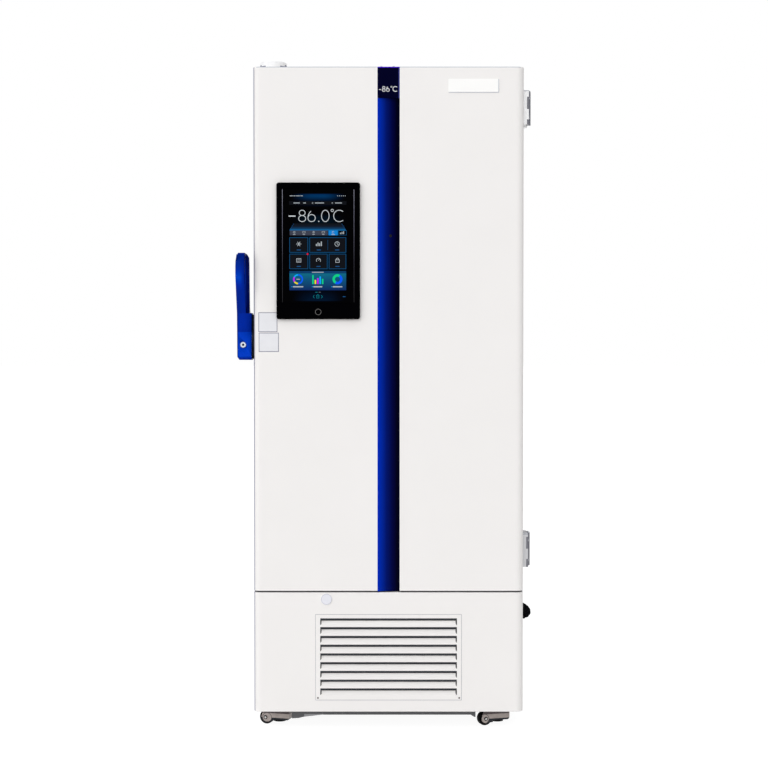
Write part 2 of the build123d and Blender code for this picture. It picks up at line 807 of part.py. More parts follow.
def knuckle(span_z, arm_y):
    """A hinge knuckle with its arm and pin bore, in the part builder that is open."""
    block(arm_x, arm_y, span_z)
    height = span_z[1] - span_z[0]
    with Locations((axis_x, axis_y, sum(span_z) / 2)):
        Cylinder(knuckle_radius, height)
        Cylinder(hinge_pin_radius + running, height, mode=Mode.SUBTRACT)


door_leaf_y = axis_y - knuckle_radius - 1.0
with BuildPart() as hinge_door_leaves:
    for low in hinge_lows:
        joint_low = low + lower_knuckle * hinge_height
        joint_high = joint_low + middle_knuckle * hinge_height
        block(leaf_x, (door_leaf_y - hinge_leaf, door_leaf_y), (low, low + hinge_height))
        knuckle((low, joint_low - fit), (door_leaf_y, axis_y))
        knuckle((joint_high + fit, low + hinge_height), (door_leaf_y, axis_y))
finish(hinge_door_leaves, "hinge_door_leaves")

with BuildPart() as hinge_cabinet_leaves:
    for low in hinge_lows:
        joint_low = low + lower_knuckle * hinge_height
        joint_high = joint_low + middle_knuckle * hinge_height
        block(leaf_x, (frame_y, frame_y + hinge_leaf), (low, low + hinge_height))
        knuckle((joint_low, joint_high), (axis_y, frame_y))
finish(hinge_cabinet_leaves, "hinge_cabinet_leaves")

with BuildPart() as hinge_pins:
    for low in hinge_lows:
        with BuildSketch(Plane.XY.offset(low)):
            with Locations((axis_x, axis_y)):
                Circle(hinge_pin_radius)
        extrude(amount=hinge_height + pin_head_height)
        with BuildSketch(Plane.XY.offset(low + hinge_height)):
            with Locations((axis_x, axis_y)):
                Circle(pin_head_radius)
        extrude(amount=pin_head_height)
finish(hinge_pins, "hinge_pins")

# Base frame: two box rails joined by the floor of the machine bay, and four posts
bay_x = (left_x + sheet, right_x - sheet)
bay_y = (frame_y + sheet, back_y - sheet)
rail_y_span = (door_face_y + rail_setback, bay_y[1])
with BuildPart() as base_frame:
    block(bay_x, rail_y_span, (floor_z - rail_wall, floor_z))
    for x in ((bay_x[0], bay_x[0] + rail_box), (bay_x[1] - rail_box, bay_x[1])):
        block(x, rail_y_span, rail_z)
        inside = (grown(x, -rail_wall), rail_y_span, grown(rail_z, -rail_wall))
        block(*inside, mode=Mode.SUBTRACT)
    for x in ((bay_x[0], bay_x[0] + post), (bay_x[1] - post, bay_x[1])):
        for y in ((bay_y[0], bay_y[0] + post), (bay_y[1] - post, bay_y[1])):
            block(x, y, (floor_z, box_z))
finish(base_frame, "base_frame")

# Apron: a folded angle under the floor, between the two rails, with a tab at each end
apron_x = (bay_x[0] + rail_box, bay_x[1] - rail_box)
apron_top = floor_z - rail_wall
tab_x = grown(apron_x, -apron_tab)
slope_x = grown(tab_x, -apron_tab_drop)
with BuildPart() as front_apron:
    with BuildSketch(Plane.XZ.offset(-rail_y_span[0])):
        with BuildLine():
            Polyline(
                (apron_x[0], apron_top),
                (apron_x[0], apron_edge - apron_tab_drop),
                (tab_x[0], apron_edge - apron_tab_drop),
                (slope_x[0], apron_edge),
                (slope_x[1], apron_edge),
                (tab_x[1], apron_edge - apron_tab_drop),
                (apron_x[1], apron_edge - apron_tab_drop),
                (apron_x[1], apron_top),
                close=True,
            )
        make_face()
    extrude(amount=-apron_sheet)
    flange_y = (rail_y_span[0], rail_y_span[0] + apron_flange)
    block(apron_x, flange_y, (apron_top - apron_sheet, apron_top))
finish(front_apron, "front_apron")

# Lower front panel: a pan open at the back, flush with the door
panel_z = (skirt_clearance, box_z - seam)
pan_y = (door_face_y, frame_y - fit)
opening_x = grown((mid_x, mid_x), grille_width / 2 - grille_margin)
opening_z = grown((grille_z, grille_z), grille_height / 2 - grille_margin)
plug_plane = Plane((plug_x, door_face_y, plug_z), z_dir=(0, -1, 0))
with BuildPart() as lower_front_panel:
    with BuildSketch(Plane.XY.offset(panel_z[0])):
        add(rounded_front((left_x, right_x), pan_y, corner_radius))
    extrude(amount=panel_z[1] - panel_z[0])
    ends = lower_front_panel.faces().filter_by(Axis.Z)
    chamfer([e for e in ends.edges() if e.center().Y < pan_y[1] - sheet], skin_edge)
    with BuildSketch(Plane.XY.offset(panel_z[0] + sheet)):
        inner_y = (pan_y[0] + sheet, pan_y[1])
        add(rounded_front(grown((left_x, right_x), -sheet), inner_y, corner_radius - sheet))
    extrude(amount=panel_z[1] - panel_z[0] - 2 * sheet, mode=Mode.SUBTRACT)
    under_x = grown((left_x, right_x), -sheet)
    under_y = (door_face_y + pan_lip, pan_y[1])
    block(under_x, under_y, (panel_z[0], panel_z[0] + sheet), mode=Mode.SUBTRACT)
    block(opening_x, (door_face_y, door_face_y + 2 * sheet), opening_z, mode=Mode.SUBTRACT)
    with BuildSketch(plug_plane):
        Circle(plug_radius * 0.8 + fit)
    extrude(amount=-2 * sheet, mode=Mode.SUBTRACT)
finish(lower_front_panel, "lower_front_panel")

# Blanking caps: one on the roof's access port, one in the lower front panel
with BuildPart() as blanking_caps:
    with BuildSketch(Plane.XY.offset(cabinet_height)):
        with Locations((port_x, port_y)):
            Circle(port_cap_radius)
    extrude(amount=port_cap_height)
    chamfer(blanking_caps.faces().sort_by(Axis.Z)[-1].edges(), port_cap_height * 0.1)
    with BuildSketch(plug_plane):
        Circle(plug_radius)
    extrude(amount=plug_proud)
    chamfer(blanking_caps.faces().sort_by(Axis.Y)[0].edges(), plug_proud * 0.4)
    with BuildSketch(plug_plane):
        Circle(plug_radius * 0.8)
    extrude(amount=-4 * sheet)
finish(blanking_caps, "blanking_caps")

# Louvred grille that pulls off forwards with the filter in its carrier
cover_y = (door_face_y - grille_sheet, door_face_y)
carrier_depth = louvre_lean + filter_thickness + 3.0
carrier_y = (door_face_y, door_face_y + carrier_depth)
with BuildPart() as filter_grille:
    block(grown(opening_x, grille_margin), cover_y, grown(opening_z, grille_margin))
    block(grown(opening_x, -fit), carrier_y, grown(opening_z, -fit))
    wall = -fit - grille_sheet
    block(grown(opening_x, wall), carrier_y, grown(opening_z, wall), mode=Mode.SUBTRACT)
    for n in range(louvre_count):
        slot_mid = grille_z + (n - (louvre_count - 1) / 2) * louvre_pitch
        slot_low = slot_mid - louvre_height / 2
        slot_x = grown((mid_x, mid_x), louvre_length / 2)
        block(slot_x, cover_y, (slot_low, slot_low + louvre_height), mode=Mode.SUBTRACT)
        tongue_top = slot_low + louvre_height - louvre_gap
        with BuildSketch(Plane.YZ.offset(slot_x[0] + louvre_slit)):
            with BuildLine():
                Polyline(
                    (cover_y[0], slot_low),
                    (cover_y[1], slot_low),
                    (cover_y[1] + louvre_lean, tongue_top),
                    (cover_y[0] + louvre_lean, tongue_top),
                    close=True,
                )
            make_face()
        extrude(amount=louvre_length - 2 * louvre_slit)
finish(filter_grille, "filter_grille")

with BuildPart() as air_filter:
    filter_y = (carrier_y[1] - filter_thickness, carrier_y[1])
    filter_x = grown(opening_x, wall - fit)
    filter_z = grown(opening_z, wall - fit)
    mat = filter_thickness * 0.3
    block(filter_x, filter_y, filter_z)
    block(
        grown(filter_x, -filter_bar),
        filter_y,
        grown(filter_z, -filter_bar),
        mode=Mode.SUBTRACT,
    )
    block(filter_x, grown((sum(filter_y) / 2,) * 2, mat / 2), filter_z)
    for share in (0.25, 0.5, 0.75):
        bar_x = filter_x[0] + share * (filter_x[1] - filter_x[0])
        block(grown((bar_x, bar_x), filter_bar / 2), filter_y, filter_z)
finish(air_filter, "air_filter")

# Condenser, fan and motor behind the grille
condenser_x = opening_x
condenser_front = bay_y[0] + post + condenser_margin
condenser_y = (condenser_front, condenser_front + condenser_depth)
condenser_z = (floor_z, opening_z[1] + condenser_margin)
fan_z = floor_z + (condenser_z[1] - floor_z) / 2
with BuildPart() as condenser:
    fin_pitch = (condenser_x[1] - condenser_x[0] - fin_thickness) / (fin_count - 1)
    for n in range(fin_count):
        fin_x = condenser_x[0] + n * fin_pitch
        block((fin_x, fin_x + fin_thickness), condenser_y, condenser_z)
    block(condenser_x, grown(condenser_y, -condenser_depth * 0.2), condenser_z)
finish(condenser, "condenser")

shroud_y = (condenser_y[1], condenser_y[1] + shroud_thickness)
fan_plane = Plane((mid_x, shroud_y[0], fan_z), z_dir=(0, 1, 0))
with BuildPart() as fan_shroud:
    block(condenser_x, shroud_y, condenser_z)
    with BuildSketch(fan_plane):
        Circle(fan_radius + fan_clearance)
    extrude(amount=shroud_thickness, mode=Mode.SUBTRACT)
finish(fan_shroud, "fan_shroud")

motor_start = rotor_start + rotor_depth + rotor_gap
with BuildPart() as fan_motor:
    with BuildSketch(fan_plane.offset(motor_start)):
        Circle(motor_radius)
    extrude(amount=motor_length)
    with BuildSketch(fan_plane.offset(motor_start)):
        Circle(axle_radius)
    extrude(amount=-rotor_depth * 0.8)
    arm_reach = fan_radius + fan_clearance + 4.0
    arm = 8.0
    arm_y = (shroud_y[1], shroud_y[0] + motor_start + motor_length / 2)
    for side in (-1, 1):
        post_x = tuple(sorted((mid_x + side * arm_reach, mid_x + side * (arm_reach + arm))))
        inner_x_span = tuple(sorted((mid_x + side * motor_radius * 0.9, mid_x + side * arm_reach)))
        block(post_x, arm_y, grown((fan_z, fan_z), arm))
        block(inner_x_span, (arm_y[1] - arm, arm_y[1]), grown((fan_z, fan_z), arm))
finish(fan_motor, "fan_motor")

with BuildPart() as fan_rotor:
    with BuildSketch(fan_plane.offset(rotor_start)):
        Circle(fan_hub_radius)
    extrude(amount=rotor_depth)
    hub_middle = (mid_x, shroud_y[0] + rotor_start + rotor_depth / 2, fan_z)
    blade_length = fan_radius - fan_hub_radius
    for n in range(blade_count):
        turn = Location(hub_middle, (0, n * 360 / blade_count, 0))
        place = Location((fan_hub_radius + blade_length / 2 - 4, 0, 0), (blade_pitch, 0, 0))
        with Locations(turn * place):
            Box(blade_length, 3, blade_length * 0.55)
    with BuildSketch(fan_plane.offset(rotor_start + rotor_depth)):
        Circle(axle_radius + running)
    extrude(amount=-rotor_depth * 0.9, mode=Mode.SUBTRACT)
finish(fan_rotor, "fan_rotor")

# Compressors on rubber feet, cascade heat exchanger and control box
box_x = (bay_x[0] + post + control_margin, bay_x[0] + post + control_margin + control_width)
control_back = bay_y[1] - post - control_margin
box_y = (control_back - control_depth, control_back)
compressor_y = box_y[0] - terminal_gap - terminal_depth - compressor_radius
plate_z = floor_z + compressor_foot


def compressor(x):
    """A sealed compressor: mounting plate, can with sloped shoulders and terminal box."""
    with BuildPart() as unit:
        with BuildSketch(Plane.XY.offset(plate_z)):
            with Locations((x, compressor_y)):
                Rectangle(2.2 * compressor_radius, 1.5 * compressor_radius)
        extrude(amount=compressor_plate)
        with BuildSketch(Plane.XY.offset(plate_z)):
            with Locations((x, compressor_y)):
                Circle(compressor_radius)
        extrude(amount=compressor_height)
        block(
            grown((x, x), compressor_radius * 0.35),
            (compressor_y, compressor_y + compressor_radius + terminal_depth),
            (plate_z + compressor_height * 0.4, plate_z + compressor_height * 0.7),
        )
    return unit


compressor_x = (mid_x - compressor_spacing / 2, mid_x + compressor_spacing / 2)
finish(compressor(compressor_x[0]), "compressor_high_stage")
finish(compressor(compressor_x[1]), "compressor_low_stage")

with BuildPart() as compressor_feet:
    for x in compressor_x:
        for side_x in (-1, 1):
            for side_y in (-1, 1):
                foot_x = x + side_x * compressor_radius * 0.95
                foot_y = compressor_y + side_y * compressor_radius * 0.6
                block(
                    grown((foot_x, foot_x), compressor_foot * 0.8),
                    grown((foot_y, foot_y), compressor_foot * 0.8),
                    (floor_z, plate_z),
                )
finish(compressor_feet, "compressor_feet")

with BuildPart() as cascade_exchanger:
    exchanger_x = grown((mid_x, mid_x), exchanger_width / 2)
    exchanger_y = grown((compressor_y, compressor_y), exchanger_depth / 2)
    block(exchanger_x, exchanger_y, (floor_z, floor_z + exchanger_height))
    for share in (0.3, 0.7):
        port_z = floor_z + exchanger_height * share
        with BuildSketch(Plane((mid_x, exchanger_y[0], port_z), z_dir=(0, -1, 0))):
            Rectangle(exchanger_port, exchanger_port)
        extrude(amount=exchanger_port_reach)
finish(cascade_exchanger, "cascade_exchanger")

with BuildPart() as control_box:
    block(box_x, box_y, (floor_z, floor_z + control_height))
    lid_z = (floor_z + control_height, floor_z + control_height + control_lid)
    block(grown(box_x, control_lid_lap), grown(box_y, control_lid_lap), lid_z)
finish(control_box, "control_box")

# Rear service panel with air slots, power inlet and rocker switch
inlet_spans = (
    grown((inlet_x, inlet_x), inlet_width / 2),
    grown((inlet_z, inlet_z), inlet_height / 2),
)
with BuildPart() as rear_service_panel:
    block((left_x, right_x), (back_y - sheet, back_y), (skirt_clearance, box_z - fit))
    for column in (-1, 0, 1):
        for row in range(vent_rows):
            slot_mid_x = mid_x + column * vent_column
            slot_mid_z = box_z - 60 - row * vent_pitch
            block(
                grown((slot_mid_x, slot_mid_x), vent_length / 2),
                (back_y - sheet, back_y),
                grown((slot_mid_z, slot_mid_z), vent_height / 2),
                mode=Mode.SUBTRACT,
            )
    block(
        grown(inlet_spans[0], fit),
        (back_y - sheet, back_y),
        grown(inlet_spans[1], fit),
        mode=Mode.SUBTRACT,
    )
finish(rear_service_panel, "rear_service_panel")

socket_x = (inlet_spans[0][0] + inlet_wall, inlet_x + inlet_wall)
switch_x = (inlet_x + 2 * inlet_wall, inlet_spans[0][1] - inlet_wall)
well_z = grown(inlet_spans[1], -inlet_wall)
inlet_face_y = back_y + inlet_flange
with BuildPart() as power_inlet:
    block(inlet_spans[0], (back_y - inlet_depth, back_y), inlet_spans[1])
    block(grown(inlet_spans[0], 5), (back_y, inlet_face_y), grown(inlet_spans[1], 5))
    block(socket_x, (inlet_face_y - socket_depth, inlet_face_y), well_z, mode=Mode.SUBTRACT)
    block(switch_x, (inlet_face_y - switch_depth, inlet_face_y), well_z, mode=Mode.SUBTRACT)
    for offset_x, offset_z in ((-7, -2), (7, -2), (0, 3)):
        pin_x = (socket_x[0] + socket_x[1]) / 2 + offset_x
        pin_z = inlet_z + offset_z
        block(
            grown((pin_x, pin_x), 1),
            (inlet_face_y - socket_depth, inlet_face_y - 3),
            grown((pin_z, pin_z), 2),
        )
finish(power_inlet, "power_inlet")

rocker_y = inlet_face_y - switch_depth / 2
rocker_half = (well_z[1] - well_z[0]) / 2 - 1.5
with BuildPart() as power_switch:
    with BuildSketch(Plane.YZ.offset(switch_x[0] + fit)):
        with BuildLine():
            Polyline(
                (rocker_y - 1.5, inlet_z - 3),
                (rocker_y + 1, inlet_z - rocker_half),
                (inlet_face_y + 1.5, inlet_z - rocker_half),
                (inlet_face_y - 1, inlet_z),
                (inlet_face_y + 1.5, inlet_z + rocker_half),
                (rocker_y + 1, inlet_z + rocker_half),
                (rocker_y - 1.5, inlet_z + 3),
                close=True,
            )
        make_face()
    extrude(amount=switch_x[1] - switch_x[0] - 2 * fit)
finish(power_switch, "power_switch")

# Casters: swivelling ones with levelling pads in front, fixed ones at the back
front_axles = (left_x + caster_inset, right_x - caster_inset)
front_axle_y = door_face_y + front_caster_setback
rear_axle_y = back_y - rear_caster_inset
plate_under = base_height - caster_plate
head_z = plate_under - fit
ear_y = wheel_width / 2 + wheel_clearance

with BuildPart() as front_caster_plates:
    for x in front_axles:
        half = caster_plate_size / 2
        plate_y = grown((front_axle_y,) * 2, half)
        block(grown((x, x), half), plate_y, (plate_under, base_height))
        with BuildSketch(Plane.XY.offset(plate_under)):
            with Locations((x, front_axle_y)):
                Circle(kingpin_radius)
        extrude(amount=-kingpin_length)
finish(front_caster_plates, "front_caster_plates")


def swivel_fork():
    """Fork with two ears, an axle, the kingpin's bore and the levelling spindle's bore.

    Its swivel axis is Z and its wheel trails to the left.
    """
    side_plane = Plane((-caster_trail, 0, wheel_radius), z_dir=(0, -1, 0))
    with BuildPart() as fork:
        with BuildSketch(Plane.XZ) as cheek:
            with BuildLine():
                CenterArc((-caster_trail, wheel_radius), ear_radius, 0, 360)
                Polyline(
                    (-caster_nose, head_z),
                    (caster_nose, head_z),
                    (caster_nose, caster_lower_edge),
                    (-caster_nose * 0.5, caster_lower_edge),
                )
            make_hull()
            nose_corner = cheek.vertices().group_by(Axis.X)[-1].sort_by(Axis.Y)[0]
            fillet(nose_corner, caster_nose_corner)
        extrude(amount=ear_y + ear_thickness, both=True)
        room_y = grown((0, 0), ear_y + ear_thickness)
        block((-pad_radius - fit, caster_nose), room_y, (0, caster_lower_edge), Mode.SUBTRACT)
        with BuildSketch(side_plane):
            Circle(wheel_radius + wheel_clearance)
        extrude(amount=ear_y, both=True, mode=Mode.SUBTRACT)
        with BuildSketch(side_plane):
            Circle(axle_radius)
        extrude(amount=ear_y + ear_thickness, both=True)
        with BuildSketch(Plane.XY.offset(head_z)):
            Circle(kingpin_radius + running)
        extrude(amount=-kingpin_length, mode=Mode.SUBTRACT)
        with BuildSketch(Plane.XY.offset(caster_lower_edge)):
            Circle(spindle_radius + running)
        extrude(amount=spindle_length, mode=Mode.SUBTRACT)
    return fork.part


def levelling_pad():
    """Round pad on its spindle along Z, screwed up clear of the floor."""
    with BuildPart() as pad:
        with BuildSketch(Plane.XY.offset(pad_height)):
            Circle(pad_radius)
        extrude(amount=pad_thickness)
        with BuildSketch(Plane.XY.offset(pad_height)):
            Circle(spindle_radius)
        extrude(amount=spindle_length)
    return pad.part


def wheel(x, axle):
    """A solid caster wheel at x on the floor, on an axle along the given direction."""
    plane = Plane((x, 0, wheel_radius), z_dir=axle)
    with BuildPart() as disc:
        with BuildSketch(plane):
            Circle(wheel_radius)
        extrude(amount=wheel_width / 2, both=True)
        with BuildSketch(plane):
            Circle(axle_radius + running)
        extrude(amount=wheel_width, both=True, mode=Mode.SUBTRACT)
    return disc.part


with BuildPart() as rear_caster_frames:
    for x in front_axles:
        side_plane = Plane((x, rear_axle_y, wheel_radius), z_dir=(1, 0, 0))
        with BuildSketch(Plane.YZ.offset(x)):
            with BuildLine():
                CenterArc((rear_axle_y, wheel_radius), ear_radius, 0, 360)
                Polyline((rear_axle_y - 24, plate_under), (rear_axle_y + 24, plate_under))
            make_hull()
        extrude(amount=ear_y + ear_thickness, both=True)
        block(grown((x, x), ear_y), grown((rear_axle_y,) * 2, 40), (0, plate_under), Mode.SUBTRACT)
        with BuildSketch(side_plane):
            Circle(axle_radius)
        extrude(amount=ear_y + ear_thickness, both=True)
        half = caster_plate_size / 2
        plate_y = grown((rear_axle_y,) * 2, half)
        block(grown((x, x), half), plate_y, (plate_under, base_height))
finish(rear_caster_frames, "rear_caster_frames")

for side, x, turn in zip(("left", "right"), front_axles, (-1, 1)):
    front = Location((x, front_axle_y, 0), (0, 0, turn * front_caster_turn))
    rear = Location((x, rear_axle_y, 0))
    for shape, name, place in (
        (swivel_fork(), "caster_fork", front),
        (levelling_pad(), "levelling_pad", front),
        (wheel(-caster_trail, (0, 1, 0)), "front_wheel", front),
        (wheel(0, (1, 0, 0)), "rear_wheel", rear),
    ):
        with BuildPart() as caster_piece:
            add(shape.moved(place))
        finish(caster_piece, f"{name}_{side}")

# Corrugated conduit that leaves the machine bay's right side and turns back into it
bend = conduit_reach - conduit_radius
start = Vector(right_x, conduit_y[0], conduit_z[0])
finish_point = Vector(right_x, conduit_y[1], conduit_z[1])
run = (finish_point - start).normalized()
span = (finish_point - start).length
conduit_plane = Plane(start, x_dir=(1, 0, 0), z_dir=Vector(1, 0, 0).cross(run))
stub = 4.0
with BuildPart() as conduit:
    with BuildLine(conduit_plane) as hose_path:
        Polyline(
            (-stub, 0),
            (bend / 3, 0),
            (bend, bend * 2 / 3),
            (bend, span - bend * 2 / 3),
            (bend / 3, span),
            (-stub, span),
        )
    hose = hose_path.wires()[0]
    with BuildSketch(Plane(start - Vector(stub, 0, 0), z_dir=(1, 0, 0))):
        RegularPolygon(conduit_core, 8)
    sweep(path=hose, transition=Transition.RIGHT)
    ribbed = hose.length - 2 * (stub + conduit_collar)
    rib_count = int(ribbed // conduit_pitch) + 1
    ribs = [stub + conduit_collar + n * ribbed / (rib_count - 1) for n in range(rib_count)]
    grommet = stub + conduit_pitch * 0.3
    for along in [grommet, *ribs, hose.length - grommet]:
        with BuildSketch(Plane(hose.location_at(along / hose.length))):
            RegularPolygon(conduit_radius, 12)
        extrude(amount=conduit_pitch * 0.25, both=True)
finish(conduit, "conduit")
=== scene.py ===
import json
import math

import bmesh
import bpy
from mathutils import Matrix, Vector


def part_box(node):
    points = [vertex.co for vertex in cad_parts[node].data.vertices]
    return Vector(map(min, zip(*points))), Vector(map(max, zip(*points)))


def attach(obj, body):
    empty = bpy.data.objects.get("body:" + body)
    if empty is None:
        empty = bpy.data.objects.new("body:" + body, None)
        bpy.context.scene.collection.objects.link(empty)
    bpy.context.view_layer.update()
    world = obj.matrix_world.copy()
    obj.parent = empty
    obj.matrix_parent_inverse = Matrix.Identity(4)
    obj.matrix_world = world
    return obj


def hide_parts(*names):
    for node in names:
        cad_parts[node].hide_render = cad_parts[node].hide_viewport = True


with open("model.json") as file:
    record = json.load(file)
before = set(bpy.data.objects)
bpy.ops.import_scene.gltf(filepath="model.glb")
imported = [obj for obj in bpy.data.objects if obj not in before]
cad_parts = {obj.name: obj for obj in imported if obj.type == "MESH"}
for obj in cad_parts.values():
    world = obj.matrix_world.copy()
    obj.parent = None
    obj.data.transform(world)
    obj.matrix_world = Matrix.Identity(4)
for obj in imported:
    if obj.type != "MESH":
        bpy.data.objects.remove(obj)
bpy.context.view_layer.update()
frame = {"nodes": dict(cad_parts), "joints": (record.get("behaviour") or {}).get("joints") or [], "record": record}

nodes = frame["nodes"]
slots = {part["node"]: part["material_slot"] for part in frame["record"]["subparts"]}
MM = 0.001

# Places taken from the frame, and a few sizes that several sections share, in metres
shell_low, shell_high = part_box("door_shell")
door_left, door_right, door_top = shell_low.x, shell_high.x, shell_high.z
face_y = shell_low.y
middle_x = (door_left + door_right) / 2
display_low, display_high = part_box("display_glass")
stripe_low, stripe_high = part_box("stripe_trim")
grille_low, grille_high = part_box("filter_grille")
panel_low, panel_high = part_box("rear_service_panel")
lever_low, lever_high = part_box("handle_lever")
hinge_tall = 0.097
plug_x, plug_z = door_left + 0.2115, panel_high.z - 0.0223
roof_cap_x = door_left + 0.0495


# Materials: colours are given as display values of 0 to 255

finish = {}  # every material by its name


def linear(red, green, blue):
    """A linear colour from display values."""
    return tuple((c / 255) ** 2.2 for c in (red, green, blue)) + (1,)


def shade(colour, factor):
    return tuple(c * factor for c in colour[:3]) + (1,)


white = (243, 240, 237)
unlit = linear(0, 0, 0)


def new_material(name):
    material = bpy.data.materials.new(name)
    material.use_nodes = True
    finish[name] = material
    tree = material.node_tree
    return material, tree, tree.nodes["Principled BSDF"]


def feed(tree, node, inputs):
    """Fills a node's inputs, by name or number: links an output, sets a plain value."""
    for key, value in inputs.items():
        if isinstance(value, bpy.types.NodeSocket):
            tree.links.new(value, node.inputs[key])
        else:
            node.inputs[key].default_value = value


def add_node(tree, kind, inputs, **settings):
    node = tree.nodes.new(f"ShaderNode{kind}")
    for setting, value in settings.items():
        setattr(node, setting, value)
    feed(tree, node, inputs)
    return node


def math_node(tree, operation, *values):
    return add_node(tree, "Math", dict(enumerate(values)), operation=operation).outputs["Value"]


def mixed(tree, factor, first, second, blend="MIX"):
    """A mix of two colours, which are the Mix node's inputs 6 and 7 and its output 2."""
    inputs = {0: factor, 6: first, 7: second}
    return add_node(tree, "Mix", inputs, data_type="RGBA", blend_type=blend).outputs[2]


def noise(tree, scale, detail=2, stretch=(1, 1, 1)):
    """Noise in the object's coordinates, in metres."""
    where = add_node(tree, "TexCoord", {})
    mapping = add_node(tree, "Mapping", {"Vector": where.outputs["Object"], "Scale": stretch})
    inputs = {"Vector": mapping.outputs["Vector"], "Scale": scale, "Detail": detail}
    return add_node(tree, "TexNoise", inputs).outputs["Fac"]


def ramp(tree, factor, stops, interpolation="LINEAR"):
    """A colour that runs through the stops, each a position and a linear colour."""
    node = add_node(tree, "ValToRGB", {"Fac": factor})
    node.color_ramp.interpolation = interpolation
    elements = node.color_ramp.elements
    while len(elements) < len(stops):
        elements.new(0.5)
    for element, (position, colour) in zip(elements, stops):
        element.position = position
        element.color = colour
    return node.outputs["Color"]


def spread(tree, factor, low, high):
    """A factor of 0 to 1 spread from low to high."""
    return add_node(tree, "MapRange", {"Value": factor, "To Min": low, "To Max": high}).outputs["Result"]


def place_axis(tree, axis):
    """The object coordinate on one axis, in metres."""
    where = add_node(tree, "TexCoord", {})
    split = add_node(tree, "SeparateXYZ", {"Vector": where.outputs["Object"]})
    return split.outputs["XYZ".index(axis)]


def along(tree, axis, low, high):
    """0 to 1 from low to high on an axis."""
    inputs = {"Value": place_axis(tree, axis), "From Min": low, "From Max": high}
    return add_node(tree, "MapRange", inputs).outputs["Result"]


def gradient(tree, axis, low, high, stops, interpolation="LINEAR"):
    """A colour that runs through the stops between two places on an axis."""
    linear_stops = [(position, linear(*colour)) for position, colour in stops]
    return ramp(tree, along(tree, axis, low, high), linear_stops, interpolation)


def bump(tree, height, strength, distance):
    inputs = {"Height": height, "Strength": strength, "Distance": distance}
    return add_node(tree, "Bump", inputs).outputs["Normal"]


def blotched(tree, colour, vary, scale, detail=2, stretch=(1, 1, 1)):
    """A linear colour that is darker in patches, by the share vary."""
    return ramp(tree, noise(tree, scale, detail, stretch), [(0.3, shade(colour, 1 - vary)), (0.7, colour)])


def masked(tree, value, low, high):
    """1 where the value lies between low and high, else 0."""
    above = math_node(tree, "GREATER_THAN", value, low)
    return product(tree, above, math_node(tree, "LESS_THAN", value, high))


def zone(tree, axis, low, high):
    """1 between two places on an axis, else 0."""
    return masked(tree, place_axis(tree, axis), low, high)


def product(tree, first, *others):
    """All the values multiplied, so 1 where each mask is 1."""
    for other in others:
        first = math_node(tree, "MULTIPLY", first, other)
    return first


def aside(tree, x):
    """How far the surface is from a place on the X axis, on either side."""
    return math_node(tree, "ABSOLUTE", math_node(tree, "SUBTRACT", place_axis(tree, "X"), x))


def distance(tree, x, z):
    """How far the surface is from the line along Y through (x, z)."""
    squares = [
        math_node(tree, "POWER", math_node(tree, "SUBTRACT", place_axis(tree, axis), value), 2)
        for axis, value in (("X", x), ("Z", z))
    ]
    return math_node(tree, "SQRT", math_node(tree, "ADD", *squares))


def recolour(material, mask, colour):
    """Another base colour where the mask is 1, as display values or a colour output."""
    tree = material.node_tree
    socket = tree.nodes["Principled BSDF"].inputs["Base Color"]
    after = linear(*colour) if isinstance(colour, tuple) else colour
    tree.links.new(mixed(tree, mask, socket.links[0].from_socket, after), socket)


def surface(name, colour, roughness, metallic=0, vary=0.03, blotch=6, grain=900,
        relief=0.05, depth=0.0002, stretch=(1, 1, 1), specular=0.5):
    """A surface with uneven tone, uneven gloss and a fine relief."""
    material, tree, shader = new_material(name)
    fine = noise(tree, grain, stretch=stretch)
    feed(tree, shader, {
        "Base Color": blotched(tree, linear(*colour), vary, blotch, 3, stretch),
        "Roughness": spread(tree, fine, roughness * 0.85, min(1, roughness * 1.15)),
        "Normal": bump(tree, fine, relief, depth),
        "Metallic": metallic,
        "Specular IOR Level": specular,
    })
    return material


def glowing(name, colour, fade=()):
    """A lit patch of the screen: a slightly uneven colour, or one that fades between two heights."""
    material, tree, shader = new_material(name)
    light = gradient(tree, "Z", *fade) if fade else blotched(tree, linear(*colour), 0.06, 300)
    feed(tree, shader, {"Emission Color": light, "Emission Strength": 1, "Base Color": unlit,
        "Roughness": 0.5 if fade else 0.2, "Specular IOR Level": 0.1})
    return material


def painted_light_stripe(name, stops):
    """High gloss plastic with painted light and shade that run from one side of the stripe to the other."""
    material, tree, shader = new_material(name)
    light_and_shade = gradient(tree, "X", stripe_low.x, stripe_high.x, stops)
    waves = noise(tree, 5, 3)
    feed(tree, shader, {
        "Base Color": mixed(tree, 1, light_and_shade, spread(tree, waves, 0.9, 1.05), "MULTIPLY"),
        "Roughness": spread(tree, noise(tree, 1200), 0.16, 0.24),
        "Normal": bump(tree, waves, 0.05, 0.0004),
        "Specular IOR Level": 0.02,
    })
    return material


def header_gloss():
    """The header's dark gloss, with painted highlights along its side edges and a painted violet glint on its
    upper front edge.
    """
    material = painted_light_stripe("navy_gloss", [
        # painted highlights: lighter at the left edge, a pale band at the right edge
        (0, (0, 8, 58)), (0.06, (0, 2, 39)), (0.94, (0, 2, 39)), (0.955, (60, 62, 130)),
    ])
    tree = material.node_tree
    # painted glint along the top front edge
    glint = product(tree, zone(tree, "Z", door_top - 0.0026, door_top + 0.01),
        zone(tree, "Y", -2, stripe_low.y + 0.014))
    recolour(material, glint, (70, 24, 200))


